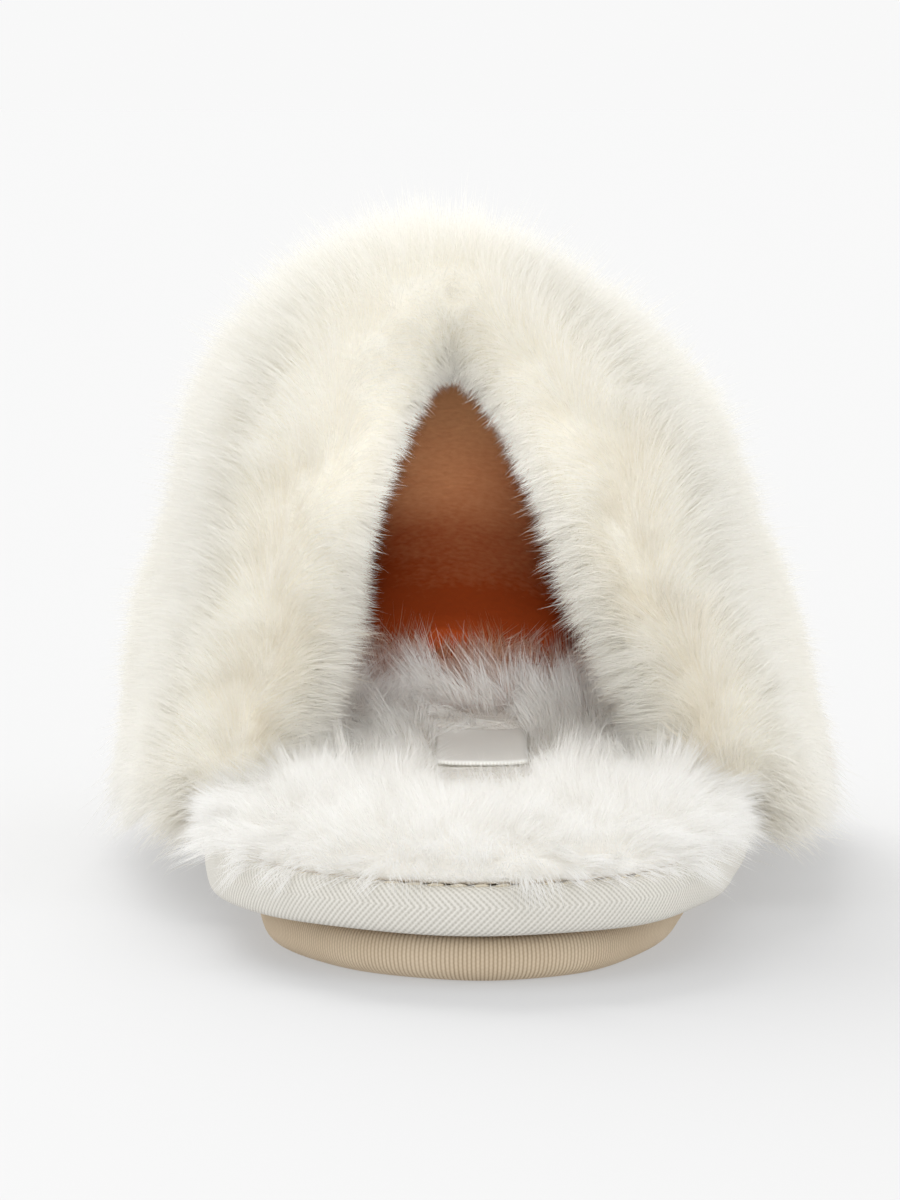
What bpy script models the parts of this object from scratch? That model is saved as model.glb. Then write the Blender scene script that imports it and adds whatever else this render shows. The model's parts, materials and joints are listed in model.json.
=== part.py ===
"""House slipper for the right foot: a backless mule with a fur upper on a fabric-wrapped sole.

Sizes are in millimetres and are turned into metres as each solid is made. A station is a distance
along the foot from the back of the heel. The toe points to +Y, the outer side of the foot to +X.
"""

from collections import namedtuple

import bmesh
import bpy
import numpy as np
from mathutils import Matrix

MM = 0.001
ORIGIN_STATION = 125.8
CLEARANCE = 0.3
SHARP_ANGLE = 45.0

# Sole unit
TOE_SPRING = 6.0
SPRING_START = 188.0
ARCH_RISE = 1.8
ARCH_BACK = 84.0
ARCH_FRONT = 136.0
SOLE_TOP = 6.2
SOLE_SIDE_INSET = 3.0
TAPE_BOTTOM = 6.5
TAPE_TOP = 12.8
TAPE_LIP = 4.5
TAPE_THICK = 1.2
EDGE_POINTS = 60

# Insole pile
PILE_OVERHANG_END = 70.0
PILE_TUCK_START = 84.0
PILE_AT_HEEL = 0.8
PILE_AT_UPPER = 5.4

# Upper and its fur
RIM = TAPE_TOP + CLEARANCE
WALL = 2.6
TOE_END = 242.0
COLLAR_LOW = 93.5
COLLAR_SLOPE = 17.0
COLLAR_THROAT_DIP = 9.5
COLLAR_BEND = 1.54
REACH_START = 172.0
FUR_GAP = 0.4
SKIRT_GAP = 1.6
SKIRT_TIP = 4.6
SKIRT_ROOT = 6.4
SKIRT_LIFT = 6.0
SHOULDER_LEFT = 4.5
SHOULDER_RIGHT = 0.5
NOSE_SHRINK = 0.6
NOSE_FORWARD = 1.6
ROLL_FORWARD = 7.0
LAP_LENGTH = 16.0
LAP_ROWS = 4
LAP_GAP = 0.8
LAP_THINNING = 0.6
HEM_DROP = 1.0
LAP_PILE_SIDE = 8.5
LAP_PILE_TOP = 5.0
LAP_HEM = 22.4
UPPER_ROWS = 12
ROW_CROWDING = 1.7
HOOP_POINTS = 25

# Label
LABEL_WIDTH = 13.0
LABEL_LENGTH = 22.0
LABEL_THICK = 0.6
LABEL_STATION = 113.0
LABEL_X = 1.0
LABEL_Z = 19.2
LABEL_TILT = 7.0
RECESS_MARGIN = 1.2
RECESS_HEIGHT = 12.0

# Plan of the footbed, outside the tape, anticlockwise from the back of the heel.
Edge = namedtuple("Edge", "x station")
OUTLINE = [
    Edge(x=2, station=0),
    Edge(x=20, station=9),
    Edge(x=30.5, station=31),
    Edge(x=36, station=65),
    Edge(x=40, station=112),
    Edge(x=44.5, station=165),
    Edge(x=36, station=211),
    Edge(x=17, station=236),
    Edge(x=-5, station=243),
    Edge(x=-26, station=233),
    Edge(x=-39.5, station=205),
    Edge(x=-43, station=165),
    Edge(x=-36.5, station=100),
    Edge(x=-36.5, station=62),
    Edge(x=-32, station=30),
    Edge(x=-18, station=8),
]
TOE_ROW = 8

# Sections of the last: where the crown stands, how round the section is (2 is an ellipse, less is a
# tent) and how deep the fur is at the side and on top.
Section = namedtuple("Section", "station crown_x crown_z fullness side_pile top_pile")
SECTIONS = [
    Section(station=80, crown_x=-4.0, crown_z=81, fullness=1.25, side_pile=6.0, top_pile=7.0),
    Section(station=105, crown_x=-4.5, crown_z=83, fullness=1.3, side_pile=6.0, top_pile=7.5),
    Section(station=120, crown_x=-5.5, crown_z=83, fullness=1.45, side_pile=6.5, top_pile=8.0),
    Section(station=135, crown_x=-7.0, crown_z=81.5, fullness=1.7, side_pile=6.5, top_pile=8.5),
    Section(station=150, crown_x=-8.0, crown_z=78, fullness=1.82, side_pile=7.0, top_pile=9.0),
    Section(station=175, crown_x=-9.0, crown_z=66, fullness=1.95, side_pile=7.0, top_pile=9.0),
    Section(station=200, crown_x=-9.0, crown_z=52, fullness=2.05, side_pile=7.0, top_pile=9.0),
    Section(station=220, crown_x=-9.0, crown_z=42, fullness=2.15, side_pile=7.0, top_pile=8.5),
    Section(station=234, crown_x=-8.0, crown_z=34, fullness=2.2, side_pile=6.5, top_pile=8.0),
    Section(station=242, crown_x=-6.0, crown_z=28, fullness=2.2, side_pile=6.5, top_pile=7.5),
]

# Rings from the floor up: how far in from the outline, how high, and how much of the arch they take.
SoleRing = namedtuple("SoleRing", "inset height arch")
SOLE_RINGS = [
    SoleRing(inset=7.2, height=0.0, arch=1.0),
    SoleRing(inset=5.3, height=0.5, arch=0.9),
    SoleRing(inset=4.2, height=1.9, arch=0.6),
    SoleRing(inset=4.2, height=4.4, arch=0.2),
    SoleRing(inset=5.4, height=SOLE_TOP, arch=0.0),
]

# The tape's C section, round the outside and back along the inside.
TapePoint = namedtuple("TapePoint", "inset height")
TAPE_SECTION = [
    TapePoint(inset=TAPE_LIP, height=TAPE_BOTTOM),
    TapePoint(inset=0.7, height=TAPE_BOTTOM),
    TapePoint(inset=0.0, height=TAPE_BOTTOM + 0.8),
    TapePoint(inset=0.0, height=TAPE_TOP - 0.8),
    TapePoint(inset=0.7, height=TAPE_TOP),
    TapePoint(inset=TAPE_LIP, height=TAPE_TOP),
    TapePoint(inset=TAPE_LIP, height=TAPE_TOP - TAPE_THICK),
    TapePoint(inset=TAPE_THICK, height=TAPE_TOP - TAPE_THICK),
    TapePoint(inset=TAPE_THICK, height=TAPE_BOTTOM + TAPE_THICK),
    TapePoint(inset=TAPE_LIP, height=TAPE_BOTTOM + TAPE_THICK),
]

# Footbed rings from the underside up; pile rings are measured in from the pile's own edge.
PadRing = namedtuple("PadRing", "inset height")
PAD_RINGS = [
    PadRing(inset=TAPE_LIP + CLEARANCE, height=SOLE_TOP + CLEARANCE),
    PadRing(inset=TAPE_LIP + CLEARANCE, height=TAPE_BOTTOM + TAPE_THICK + CLEARANCE),
    PadRing(inset=TAPE_THICK + CLEARANCE, height=TAPE_BOTTOM + TAPE_THICK + CLEARANCE),
    PadRing(inset=TAPE_THICK + CLEARANCE, height=TAPE_TOP - TAPE_THICK - CLEARANCE),
    PadRing(inset=TAPE_LIP + CLEARANCE, height=TAPE_TOP - TAPE_THICK - CLEARANCE),
    PadRing(inset=TAPE_LIP + CLEARANCE, height=RIM),
]
PILE_RINGS = [
    PadRing(inset=0.4, height=RIM + 0.2),
    PadRing(inset=0.0, height=15.2),
    PadRing(inset=2.2, height=18.2),
    PadRing(inset=7.0, height=20.0),
    PadRing(inset=14.0, height=20.4),
]

# Fur roll over the collar edge: angle round the edge, and the height of its lower end.
Roll = namedtuple("Roll", "angle tip_hem root_hem")
ROLLS = [
    Roll(angle=40, tip_hem=12.0, root_hem=RIM + 0.3),
    Roll(angle=90, tip_hem=18.2, root_hem=17.2),
    Roll(angle=140, tip_hem=22.4, root_hem=22.4),
]

# Fields of locks: rows and columns, the share of the hoop they spread over, where they sit along the
# foot, length, half-width, how far the root is sunk, and how much a lock heads outwards, to the toe
# and to the hem. The seat is in millimetres ahead of the collar edge, or of the hoop for the outside.
LockField = namedtuple(
    "LockField", "rows columns spread seat length radius sunk outward toeward hemward"
)
OUTER_LOCKS = LockField(
    rows=8, columns=14, spread=0.9, seat=5.0, length=15.0, radius=4.8, sunk=3.2,
    outward=0.42, toeward=0.6, hemward=0.4,
)
EDGE_LOCKS = LockField(
    rows=1, columns=17, spread=0.84, seat=-2.5, length=11.0, radius=3.4, sunk=4.0,
    outward=0.9, toeward=-0.2, hemward=0.1,
)
LAP_LOCKS = LockField(
    rows=1, columns=13, spread=0.7, seat=3.2, length=9.0, radius=3.2, sunk=2.4,
    outward=-0.6, toeward=0.6, hemward=0.1,
)
HEEL_LOCKS = LockField(
    rows=1, columns=24, spread=1.0, seat=0.0, length=8.0, radius=3.0, sunk=4.4,
    outward=1.0, toeward=0.0, hemward=0.0,
)
HEEL_LOCK_HEIGHT = 17.0
HEEL_LOCK_END = 64.0
LOCK_FLATNESS = 0.55
LOCK_DROOP = 0.2
LOCK_SIDES = 5
LOCK_TAPER = ((0.0, 1.0), (0.55, 0.72))
LOCK_SIZES = (0.82, 1.12)
LOCK_JITTER = 0.2
LOCK_SEED = 11
LAST_LOCKS_FROM_TOE = 12.0

# Colours of each piece
Finish = namedtuple("Finish", "colour roughness")
FINISHES = {
    "outsole": Finish(colour=(0.50, 0.40, 0.28), roughness=0.9),
    "binding": Finish(colour=(0.72, 0.70, 0.65), roughness=0.85),
    "insole": Finish(colour=(0.88, 0.86, 0.81), roughness=0.95),
    "upper": Finish(colour=(0.24, 0.09, 0.04), roughness=0.95),
    "upper_fur": Finish(colour=(0.82, 0.78, 0.68), roughness=0.95),
    "label": Finish(colour=(0.80, 0.79, 0.74), roughness=0.8),
}


def place(x, station, z):
    """Millimetres from the heel to metres from the middle of the part's footprint."""
    return np.stack(np.broadcast_arrays(x, station - ORIGIN_STATION, z), axis=-1) * MM


def spring(station):
    """How far the toe spring lifts a station."""
    return TOE_SPRING * np.clip((station - SPRING_START) / (TOE_END - SPRING_START), 0, None) ** 2


def arch(station):
    """How far the underside is raised between heel and forefoot."""
    return ARCH_RISE * np.sin(np.pi * np.clip((station - ARCH_BACK) / (ARCH_FRONT - ARCH_BACK), 0, 1)) ** 2


def hermite(share, span, start, end, start_slope, end_slope):
    """A cubic from start to end with the given slopes; share runs from 0 to 1 over the span."""
    rise = share * share * (3 - 2 * share)
    leave = span * share * (1 - share) ** 2
    arrive = span * share * share * (share - 1)
    return start + (end - start) * rise + start_slope * leave + end_slope * arrive


def along(column, station):
    """One column of the section table at any station, on a smooth curve through its rows."""
    stations = np.array([row.station for row in SECTIONS], float)
    values = np.array([getattr(row, column) for row in SECTIONS], float)
    slopes = np.gradient(values, stations)
    station = np.clip(station, stations[0], stations[-1])
    row = np.clip(np.searchsorted(stations, station) - 1, 0, len(stations) - 2)
    span = stations[row + 1] - stations[row]
    share = (station - stations[row]) / span
    return hermite(share, span, values[row], values[row + 1], slopes[row], slopes[row + 1])


def outline_curve(steps=24):
    """The footbed outline as a fine closed curve, with the index of its toe tip."""
    knots = np.array(OUTLINE, float)
    back = knots - np.roll(knots, 1, axis=0)
    ahead = np.roll(knots, -1, axis=0) - knots
    back_length = np.linalg.norm(back, axis=1)[:, None]
    ahead_length = np.linalg.norm(ahead, axis=1)[:, None]
    slopes = (back / back_length * ahead_length + ahead / ahead_length * back_length) / (
        back_length + ahead_length
    )
    share = np.linspace(0, 1, steps, endpoint=False)[:, None]
    pieces = []
    for row in range(len(knots)):
        after = (row + 1) % len(knots)
        pieces.append(
            hermite(share, ahead_length[row], knots[row], knots[after], slopes[row], slopes[after])
        )
    return np.concatenate(pieces), TOE_ROW * steps


def even_points(curve, count):
    """Points spaced evenly along an open curve, with both its ends."""
    lengths = np.concatenate([[0], np.cumsum(np.linalg.norm(np.diff(curve, axis=0), axis=1))])
    wanted = np.linspace(0, lengths[-1], count)
    return np.stack([np.interp(wanted, lengths, curve[:, axis]) for axis in (0, 1)], axis=1)


FINE_OUTLINE, TOE_INDEX = outline_curve()
RIGHT_SIDE = FINE_OUTLINE[: TOE_INDEX + 1]
LEFT_SIDE = np.concatenate([FINE_OUTLINE[TOE_INDEX:], FINE_OUTLINE[:1]])


def edge_points(inset, side_inset=0.0):
    """The outline drawn in by an inset, and further at the sides, with like points on both sides."""
    half = EDGE_POINTS // 2
    ring = np.concatenate(
        [even_points(RIGHT_SIDE, half + 1)[:-1], even_points(LEFT_SIDE, half + 1)[:-1]]
    )
    tangent = np.roll(ring, -1, axis=0) - np.roll(ring, 1, axis=0)
    tangent /= np.linalg.norm(tangent, axis=1)[:, None]
    inward = np.stack([-tangent[:, 1], tangent[:, 0]], axis=1)
    depth = inset + side_inset * inward[:, 0] ** 2
    return ring + inward * depth[:, None]


def half_width(station, right):
    """The outline's x at a station, on one side of the foot."""
    side = RIGHT_SIDE if right else LEFT_SIDE[::-1]
    return np.interp(station, side[:, 1], side[:, 0])


def skin(station, angle, offset):
    """A point of the last's skin: angle -90 is the left rim, 0 the crown and 90 the right rim."""
    station = np.asarray(station, float)
    turn = np.radians(angle)
    crown_x = along("crown_x", station)
    rim = RIM + spring(station)
    rise = along("crown_z", station) - rim
    bend = 2 / along("fullness", station)
    left = crown_x - half_width(station, False)
    right = half_width(station, True) - crown_x
    width = np.where(turn < 0, left, right) + offset
    x = crown_x + np.sign(turn) * width * np.abs(np.sin(turn)) ** bend
    z = rim + (rise + offset * crown_share(station)) * np.abs(np.cos(turn)) ** bend
    reach = np.clip((station - REACH_START) / (TOE_END - REACH_START), 0, 1) ** 2
    return x, station + offset * reach, z


def crown_share(station):
    """How much higher than wide an offset is at the crown, so that tent-like walls keep their thickness."""
    rise = along("crown_z", station) - RIM - spring(station)
    half = (half_width(station, True) - half_width(station, False)) / 2
    return 1 + (np.hypot(1, rise / half) - 1) * np.clip(2 - along("fullness", station), 0, 1)


def lowest_angle(station, offset, height):
    """The angle, in degrees from the crown, at which a section comes down to a height."""
    rim = RIM + spring(station)
    rise = along("crown_z", station) - rim + offset * crown_share(station)
    share = np.clip((height - rim) / rise, 0, 1)
    return np.degrees(np.arccos(share ** (along("fullness", station) / 2)))


def collar(share):
    """The station of the collar edge; share runs from -1 at the left rim to 1 at the right rim."""
    climb = np.cos(np.radians(90 * share)) ** COLLAR_BEND
    return COLLAR_LOW + COLLAR_SLOPE * climb + COLLAR_THROAT_DIP * climb**5


def pile(station, angle):
    """Depth of the fur as an offset of the section."""
    side = along("side_pile", station)
    top = along("top_pile", station) / crown_share(station)
    turn = np.radians(angle)
    shoulder = np.where(turn < 0, SHOULDER_LEFT, SHOULDER_RIGHT) * np.sin(2 * turn) ** 2
    return side + (top - side) * np.cos(turn) ** 2 + shoulder


SHARES = np.linspace(-1, 1, HOOP_POINTS)
TOE_TO_COLLAR = 1 - (1 - np.linspace(1, 0, UPPER_ROWS)) ** ROW_CROWDING


def upper_grid(offset):
    """Hoops of the upper's wall from the toe back to the collar."""
    rows = []
    for share in TOE_TO_COLLAR:
        station = collar(SHARES) + (TOE_END - collar(SHARES)) * share
        rows.append(place(*skin(station, 90 * SHARES, offset)))
    return rows


def fur_hoop(row, hem):
    """One hoop of the fur, with its lower end carried down, or cut off, at the hem.

    The row gives a station and an offset for each share of the way from the crown to the rim.
    """
    station, offset = row(SHARES)
    ends = lowest_angle(station, offset, hem)[[0, -1]] / 90
    shares = SHARES * np.where(SHARES < 0, ends[0], ends[1])
    station, offset = row(shares)
    x, stations, z = skin(station, 90 * shares, offset)
    low = np.minimum(z[[0, -1]] - HEM_DROP, hem + spring(stations[[0, -1]]))
    x = np.concatenate([x[:1], x, x[-1:]])
    stations = np.concatenate([stations[:1], stations, stations[-1:]])
    z = np.concatenate([low[:1], z, low[-1:]])
    return place(x, stations, z)


def outside_rows(toe_share):
    """Tips and roots of the fur over the upper, some share of the way from the collar to the toe."""

    def station(share):
        return collar(share) + (TOE_END - collar(share)) * toe_share

    def tips(share):
        return station(share), pile(station(share), 90 * share)

    def roots(share):
        skirt = np.maximum(np.abs(np.sin(np.radians(90 * share))) ** 6, toe_share**8)
        return station(share), FUR_GAP + (SKIRT_GAP - FUR_GAP) * skirt

    return tips, roots


def roll_rows(angle):
    """Tips and roots of the fur where it turns over the collar edge."""
    turn = np.radians(angle)
    root_depth = WALL / 2 + FUR_GAP

    def tips(share):
        edge = collar(share)
        depth = pile(edge, 90 * share) + root_depth if angle <= 90 else lap_pile(share) + root_depth
        return edge - ROLL_FORWARD * np.sin(turn), depth * np.cos(turn) - WALL / 2

    def roots(share):
        edge = collar(share)
        offset = np.full_like(edge, root_depth * np.cos(turn) - WALL / 2)
        return edge - (root_depth + FUR_GAP) * np.sin(turn), offset

    return tips, roots


def lap_pile(share):
    """Depth of the fur that is lapped inside the collar."""
    return LAP_PILE_SIDE + (LAP_PILE_TOP - LAP_PILE_SIDE) * np.cos(np.radians(90 * share)) ** 2


def lap_rows(lap_share):
    """Tips and roots of the fur inside the collar, some share of the way to the end of the lap."""

    def tips(share):
        depth = lap_pile(share) * (1 - LAP_THINNING * lap_share**2)
        return collar(share) + LAP_LENGTH * lap_share, -WALL - LAP_GAP - depth

    def roots(share):
        edge = collar(share)
        return edge + LAP_LENGTH * lap_share, np.full_like(edge, -WALL - LAP_GAP)

    return tips, roots


def nose(hoop, forward):
    """A smaller hoop in front of the toe hoop, so that the toe is round."""
    centre = (hoop.min(axis=0) + hoop.max(axis=0)) / 2
    return centre + (hoop - centre) * NOSE_SHRINK + np.array((0, forward * MM, 0))


def fur_grids():
    """Tip and root hoops of the fur: from the toe to the collar, over its edge and a little way inside."""
    rows = []
    for toe_share in TOE_TO_COLLAR:
        lift = SKIRT_LIFT * (1 - toe_share) ** 2
        rows.append((outside_rows(toe_share), SKIRT_TIP + lift, SKIRT_ROOT + lift))
    for roll in ROLLS:
        rows.append((roll_rows(roll.angle), roll.tip_hem, roll.root_hem))
    for lap_share in np.linspace(0, 1, LAP_ROWS):
        rows.append((lap_rows(lap_share), LAP_HEM, LAP_HEM))
    tips = [fur_hoop(tip_row, tip_hem) for (tip_row, _), tip_hem, _ in rows]
    roots = [fur_hoop(root_row, root_hem) for (_, root_row), _, root_hem in rows]
    return [nose(tips[0], NOSE_FORWARD), *tips], [nose(roots[0], CLEARANCE), *roots]


def add_points(bm, points):
    return [bm.verts.new(point) for point in points]


def loft(bm, rings):
    """Quads between closed rings that have the same number of points."""
    for lower, upper in zip(rings, rings[1:]):
        for i in range(len(lower)):
            j = (i + 1) % len(lower)
            bm.faces.new((lower[i], lower[j], upper[j], upper[i]))


def cross_strips(bm, ring):
    """Closes a foot-shaped ring with strips from its right side to its left side."""
    count = len(ring)
    half = count // 2
    bm.faces.new((ring[0], ring[1], ring[-1]))
    for i in range(1, half - 1):
        bm.faces.new((ring[i], ring[i + 1], ring[count - i - 1], ring[count - i]))
    bm.faces.new((ring[half - 1], ring[half], ring[half + 1]))


def shell(bm, outside, inside):
    """A wall between two grids of hoops, closed at the toe and joined round its open edges."""
    grids = [[add_points(bm, hoop) for hoop in grid] for grid in (outside, inside)]
    last = len(grids[0][0]) - 1
    for grid in grids:
        for near, far in zip(grid, grid[1:]):
            for i in range(last):
                bm.faces.new((near[i], near[i + 1], far[i + 1], far[i]))
        bm.faces.new(grid[0])
    outer, inner = grids
    for column in (0, last):
        outer_edge = [hoop[column] for hoop in outer]
        inner_edge = [hoop[column] for hoop in inner]
        for i in range(len(outer) - 1):
            bm.faces.new((outer_edge[i], outer_edge[i + 1], inner_edge[i + 1], inner_edge[i]))
    for i in range(last):
        bm.faces.new((outer[-1][i], outer[-1][i + 1], inner[-1][i + 1], inner[-1][i]))
    bm.faces.new((outer[0][0], outer[0][last], inner[0][last], inner[0][0]))


def add_lock(bm, root, heading, droop, face, field, size):
    """A flat, tapered and bent lock of hair with a closed root; face is the way its flat side looks."""
    heading = heading / np.linalg.norm(heading)
    across = np.cross(heading, face)
    across /= np.linalg.norm(across)
    over = np.cross(across, heading)
    length = field.length * size * MM
    radius = field.radius * size * MM
    turns = np.linspace(0, 2 * np.pi, LOCK_SIDES, endpoint=False)
    spokes = np.outer(np.cos(turns), across) + np.outer(np.sin(turns), over) * LOCK_FLATNESS
    rings = []
    for share, taper in LOCK_TAPER:
        centre = root + heading * length * share + droop * length * share**2
        rings.append(add_points(bm, centre + spokes * radius * taper))
    tip = bm.verts.new(root + heading * length + droop * length)
    loft(bm, rings)
    for i in range(LOCK_SIDES):
        bm.faces.new((rings[1][i], rings[1][(i + 1) % LOCK_SIDES], tip))
    bm.faces.new(rings[0][::-1])


def skin_lock(bm, station, angle, offset, field, size):
    """One lock on the last's skin, headed as its field says."""
    here = place(*skin(station, angle, offset))
    outward = place(*skin(station, angle, offset + 1)) - here
    toeward = place(*skin(station + 1, angle, offset)) - here
    hemward = place(*skin(station, angle + (1 if angle >= 0 else -1), offset)) - here
    outward, toeward, hemward = (way / np.linalg.norm(way) for way in (outward, toeward, hemward))
    heading = field.outward * outward + field.toeward * toeward + field.hemward * hemward
    droop = LOCK_DROOP * (hemward - field.outward * outward)
    add_lock(bm, here, heading, droop, outward, field, size)


def hoop_share(field, column, stagger=0.0):
    """Where a column of locks sits on its hoop, from -1 at the left rim to 1 at the right rim."""
    return field.spread * (2 * (column + 0.5 + stagger) / field.columns - 1)


def fur_locks(bm):
    """Locks over the outside of the fur, along the parting at the collar edge and on the lap inside."""
    draw = np.random.default_rng(LOCK_SEED)
    for row in range(OUTER_LOCKS.rows):
        for column in range(OUTER_LOCKS.columns):
            brick = 0.25 if row % 2 else -0.25
            share = hoop_share(OUTER_LOCKS, column, brick + draw.uniform(-LOCK_JITTER, LOCK_JITTER))
            toe_share = (row + draw.uniform(-LOCK_JITTER, LOCK_JITTER)) / OUTER_LOCKS.rows
            start = collar(share) + OUTER_LOCKS.seat
            station = start + (TOE_END - LAST_LOCKS_FROM_TOE - start) * toe_share
            offset = pile(station, 90 * share) - OUTER_LOCKS.sunk
            skin_lock(bm, station, 90 * share, offset, OUTER_LOCKS, draw.uniform(*LOCK_SIZES))
    for column in range(EDGE_LOCKS.columns):
        share = hoop_share(EDGE_LOCKS, column)
        station = collar(share) + EDGE_LOCKS.seat
        offset = pile(station, 90 * share) - EDGE_LOCKS.sunk
        skin_lock(bm, station, 90 * share, offset, EDGE_LOCKS, draw.uniform(*LOCK_SIZES))
    for column in range(LAP_LOCKS.columns):
        share = hoop_share(LAP_LOCKS, column)
        station = collar(share) + LAP_LOCKS.seat
        offset = LAP_LOCKS.sunk - WALL - LAP_GAP - lap_pile(share)
        skin_lock(bm, station, 90 * share, offset, LAP_LOCKS, draw.uniform(*LOCK_SIZES))


def pile_edge(station):
    """How far in from the outline the pile ends: over the tape at the heel, inside the upper ahead."""
    share = np.clip((station - PILE_OVERHANG_END) / (PILE_TUCK_START - PILE_OVERHANG_END), 0, 1)
    return PILE_AT_HEEL + (PILE_AT_UPPER - PILE_AT_HEEL) * share * share * (3 - 2 * share)


def heel_locks(bm):
    """Locks of the insole's pile that hang over the tape round the heel."""
    draw = np.random.default_rng(LOCK_SEED + 1)
    curve = np.concatenate([LEFT_SIDE, RIGHT_SIDE[1:]])
    points = even_points(curve[curve[:, 1] < HEEL_LOCK_END], HEEL_LOCKS.columns)
    tangents = np.gradient(points, axis=0)
    upward = np.array((0, 0, 1))
    for (x, station), tangent in zip(points, tangents):
        outward = np.array((tangent[1], -tangent[0], 0)) / np.linalg.norm(tangent)
        inset = outward * HEEL_LOCKS.sunk
        root = place(x - inset[0], station - inset[1], HEEL_LOCK_HEIGHT)
        sideways = np.array((draw.uniform(-LOCK_JITTER, LOCK_JITTER), 0, 0))
        heading = outward + sideways - upward * LOCK_DROOP / 2
        droop = -upward * LOCK_DROOP / 2
        add_lock(bm, root, heading, droop, upward, HEEL_LOCKS, draw.uniform(*LOCK_SIZES))


def make_material(name, finish):
    material = bpy.data.materials.new(name)
    material.use_nodes = True
    shader = material.node_tree.nodes["Principled BSDF"]
    shader.inputs["Base Color"].default_value = (*finish.colour, 1)
    shader.inputs["Roughness"].default_value = finish.roughness
    shader.inputs["Metallic"].default_value = 0
    return material


def make_object(name, bm, parent, finish=None):
    """Turns a bmesh into a smooth-shaded object; one with no finish is a helper and isn't a piece."""
    bmesh.ops.recalc_face_normals(bm, faces=bm.faces)
    mesh = bpy.data.meshes.new(name)
    bm.to_mesh(mesh)
    bm.free()
    mesh.shade_smooth()
    mesh.set_sharp_from_angle(angle=np.radians(SHARP_ANGLE))
    piece = bpy.data.objects.new(name, mesh)
    bpy.context.scene.collection.objects.link(piece)
    piece.parent = parent
    if finish is None:
        piece.hide_render = True
        piece.display_type = "WIRE"
    else:
        mesh.materials.append(make_material(name, finish))
    return piece


def combine(piece, helper, operation):
    """Joins a helper to a piece, or cuts it out."""
    change = piece.modifiers.new(helper.name, "BOOLEAN")
    change.operation = operation
    change.solver = "EXACT"
    change.use_self = operation == "UNION"
    change.object = helper


def make_outsole(parent):
    bm = bmesh.new()
    rings = []
    for row in SOLE_RINGS:
        points = edge_points(row.inset, SOLE_SIDE_INSET)
        height = row.height + row.arch * arch(points[:, 1]) + spring(points[:, 1])
        rings.append(add_points(bm, place(points[:, 0], points[:, 1], height)))
    loft(bm, rings)
    cross_strips(bm, rings[0])
    cross_strips(bm, rings[-1])
    make_object("outsole", bm, parent, FINISHES["outsole"])


def make_binding(parent):
    bm = bmesh.new()
    rings = []
    for row in TAPE_SECTION:
        points = edge_points(row.inset)
        rings.append(add_points(bm, place(points[:, 0], points[:, 1], row.height + spring(points[:, 1]))))
    loft(bm, rings + rings[:1])
    make_object("binding", bm, parent, FINISHES["binding"])


def make_insole(parent):
    bm = bmesh.new()
    rings = []
    for row in PAD_RINGS:
        points = edge_points(row.inset)
        rings.append(add_points(bm, place(points[:, 0], points[:, 1], row.height + spring(points[:, 1]))))
    edge = pile_edge(edge_points(0)[:, 1])
    for row in PILE_RINGS:
        points = edge_points(edge + row.inset)
        rings.append(add_points(bm, place(points[:, 0], points[:, 1], row.height + spring(points[:, 1]))))
    loft(bm, rings)
    cross_strips(bm, rings[0])
    cross_strips(bm, rings[-1])
    insole = make_object("insole", bm, parent, FINISHES["insole"])

    locks = bmesh.new()
    heel_locks(locks)
    combine(insole, make_object("heel_locks", locks, parent), "UNION")

    recess = label_box(2 * RECESS_MARGIN, -LABEL_THICK / 2 - CLEARANCE, RECESS_HEIGHT)
    combine(insole, make_object("label_recess", recess, parent), "DIFFERENCE")


def label_box(margin, bottom, top):
    """A tilted box round the label, from bottom to top measured from the label's middle."""
    bm = bmesh.new()
    bmesh.ops.create_cube(bm, size=1)
    size = np.array((LABEL_WIDTH + margin, LABEL_LENGTH + margin, top - bottom)) * MM
    bmesh.ops.scale(bm, vec=size, verts=bm.verts)
    bmesh.ops.translate(bm, vec=(0, 0, (top + bottom) / 2 * MM), verts=bm.verts)
    tilt = Matrix.Rotation(np.radians(LABEL_TILT), 3, "X")
    bmesh.ops.rotate(bm, matrix=tilt, verts=bm.verts)
    bmesh.ops.translate(bm, vec=place(LABEL_X, LABEL_STATION, LABEL_Z), verts=bm.verts)
    return bm


def make_upper(parent):
    bm = bmesh.new()
    shell(bm, upper_grid(0), upper_grid(-WALL))
    make_object("upper", bm, parent, FINISHES["upper"])


def make_upper_fur(parent):
    bm = bmesh.new()
    tips, roots = fur_grids()
    shell(bm, tips, roots)
    fur = make_object("upper_fur", bm, parent, FINISHES["upper_fur"])
    locks = bmesh.new()
    fur_locks(locks)
    combine(fur, make_object("fur_locks", locks, parent), "UNION")


def make_label(parent):
    bm = label_box(0, -LABEL_THICK / 2, LABEL_THICK / 2)
    make_object("label", bm, parent, FINISHES["label"])


def main():
    for existing in list(bpy.data.objects):
        bpy.data.objects.remove(existing, do_unlink=True)
    slipper = bpy.data.objects.new("slipper", None)
    bpy.context.scene.collection.objects.link(slipper)
    make_outsole(slipper)
    make_binding(slipper)
    make_insole(slipper)
    make_upper(slipper)
    make_upper_fur(slipper)
    make_label(slipper)


main()
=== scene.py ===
import json
import math

import bpy
import numpy as np
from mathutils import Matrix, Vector, noise
from mathutils.bvhtree import BVHTree
from mathutils.kdtree import KDTree

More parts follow.
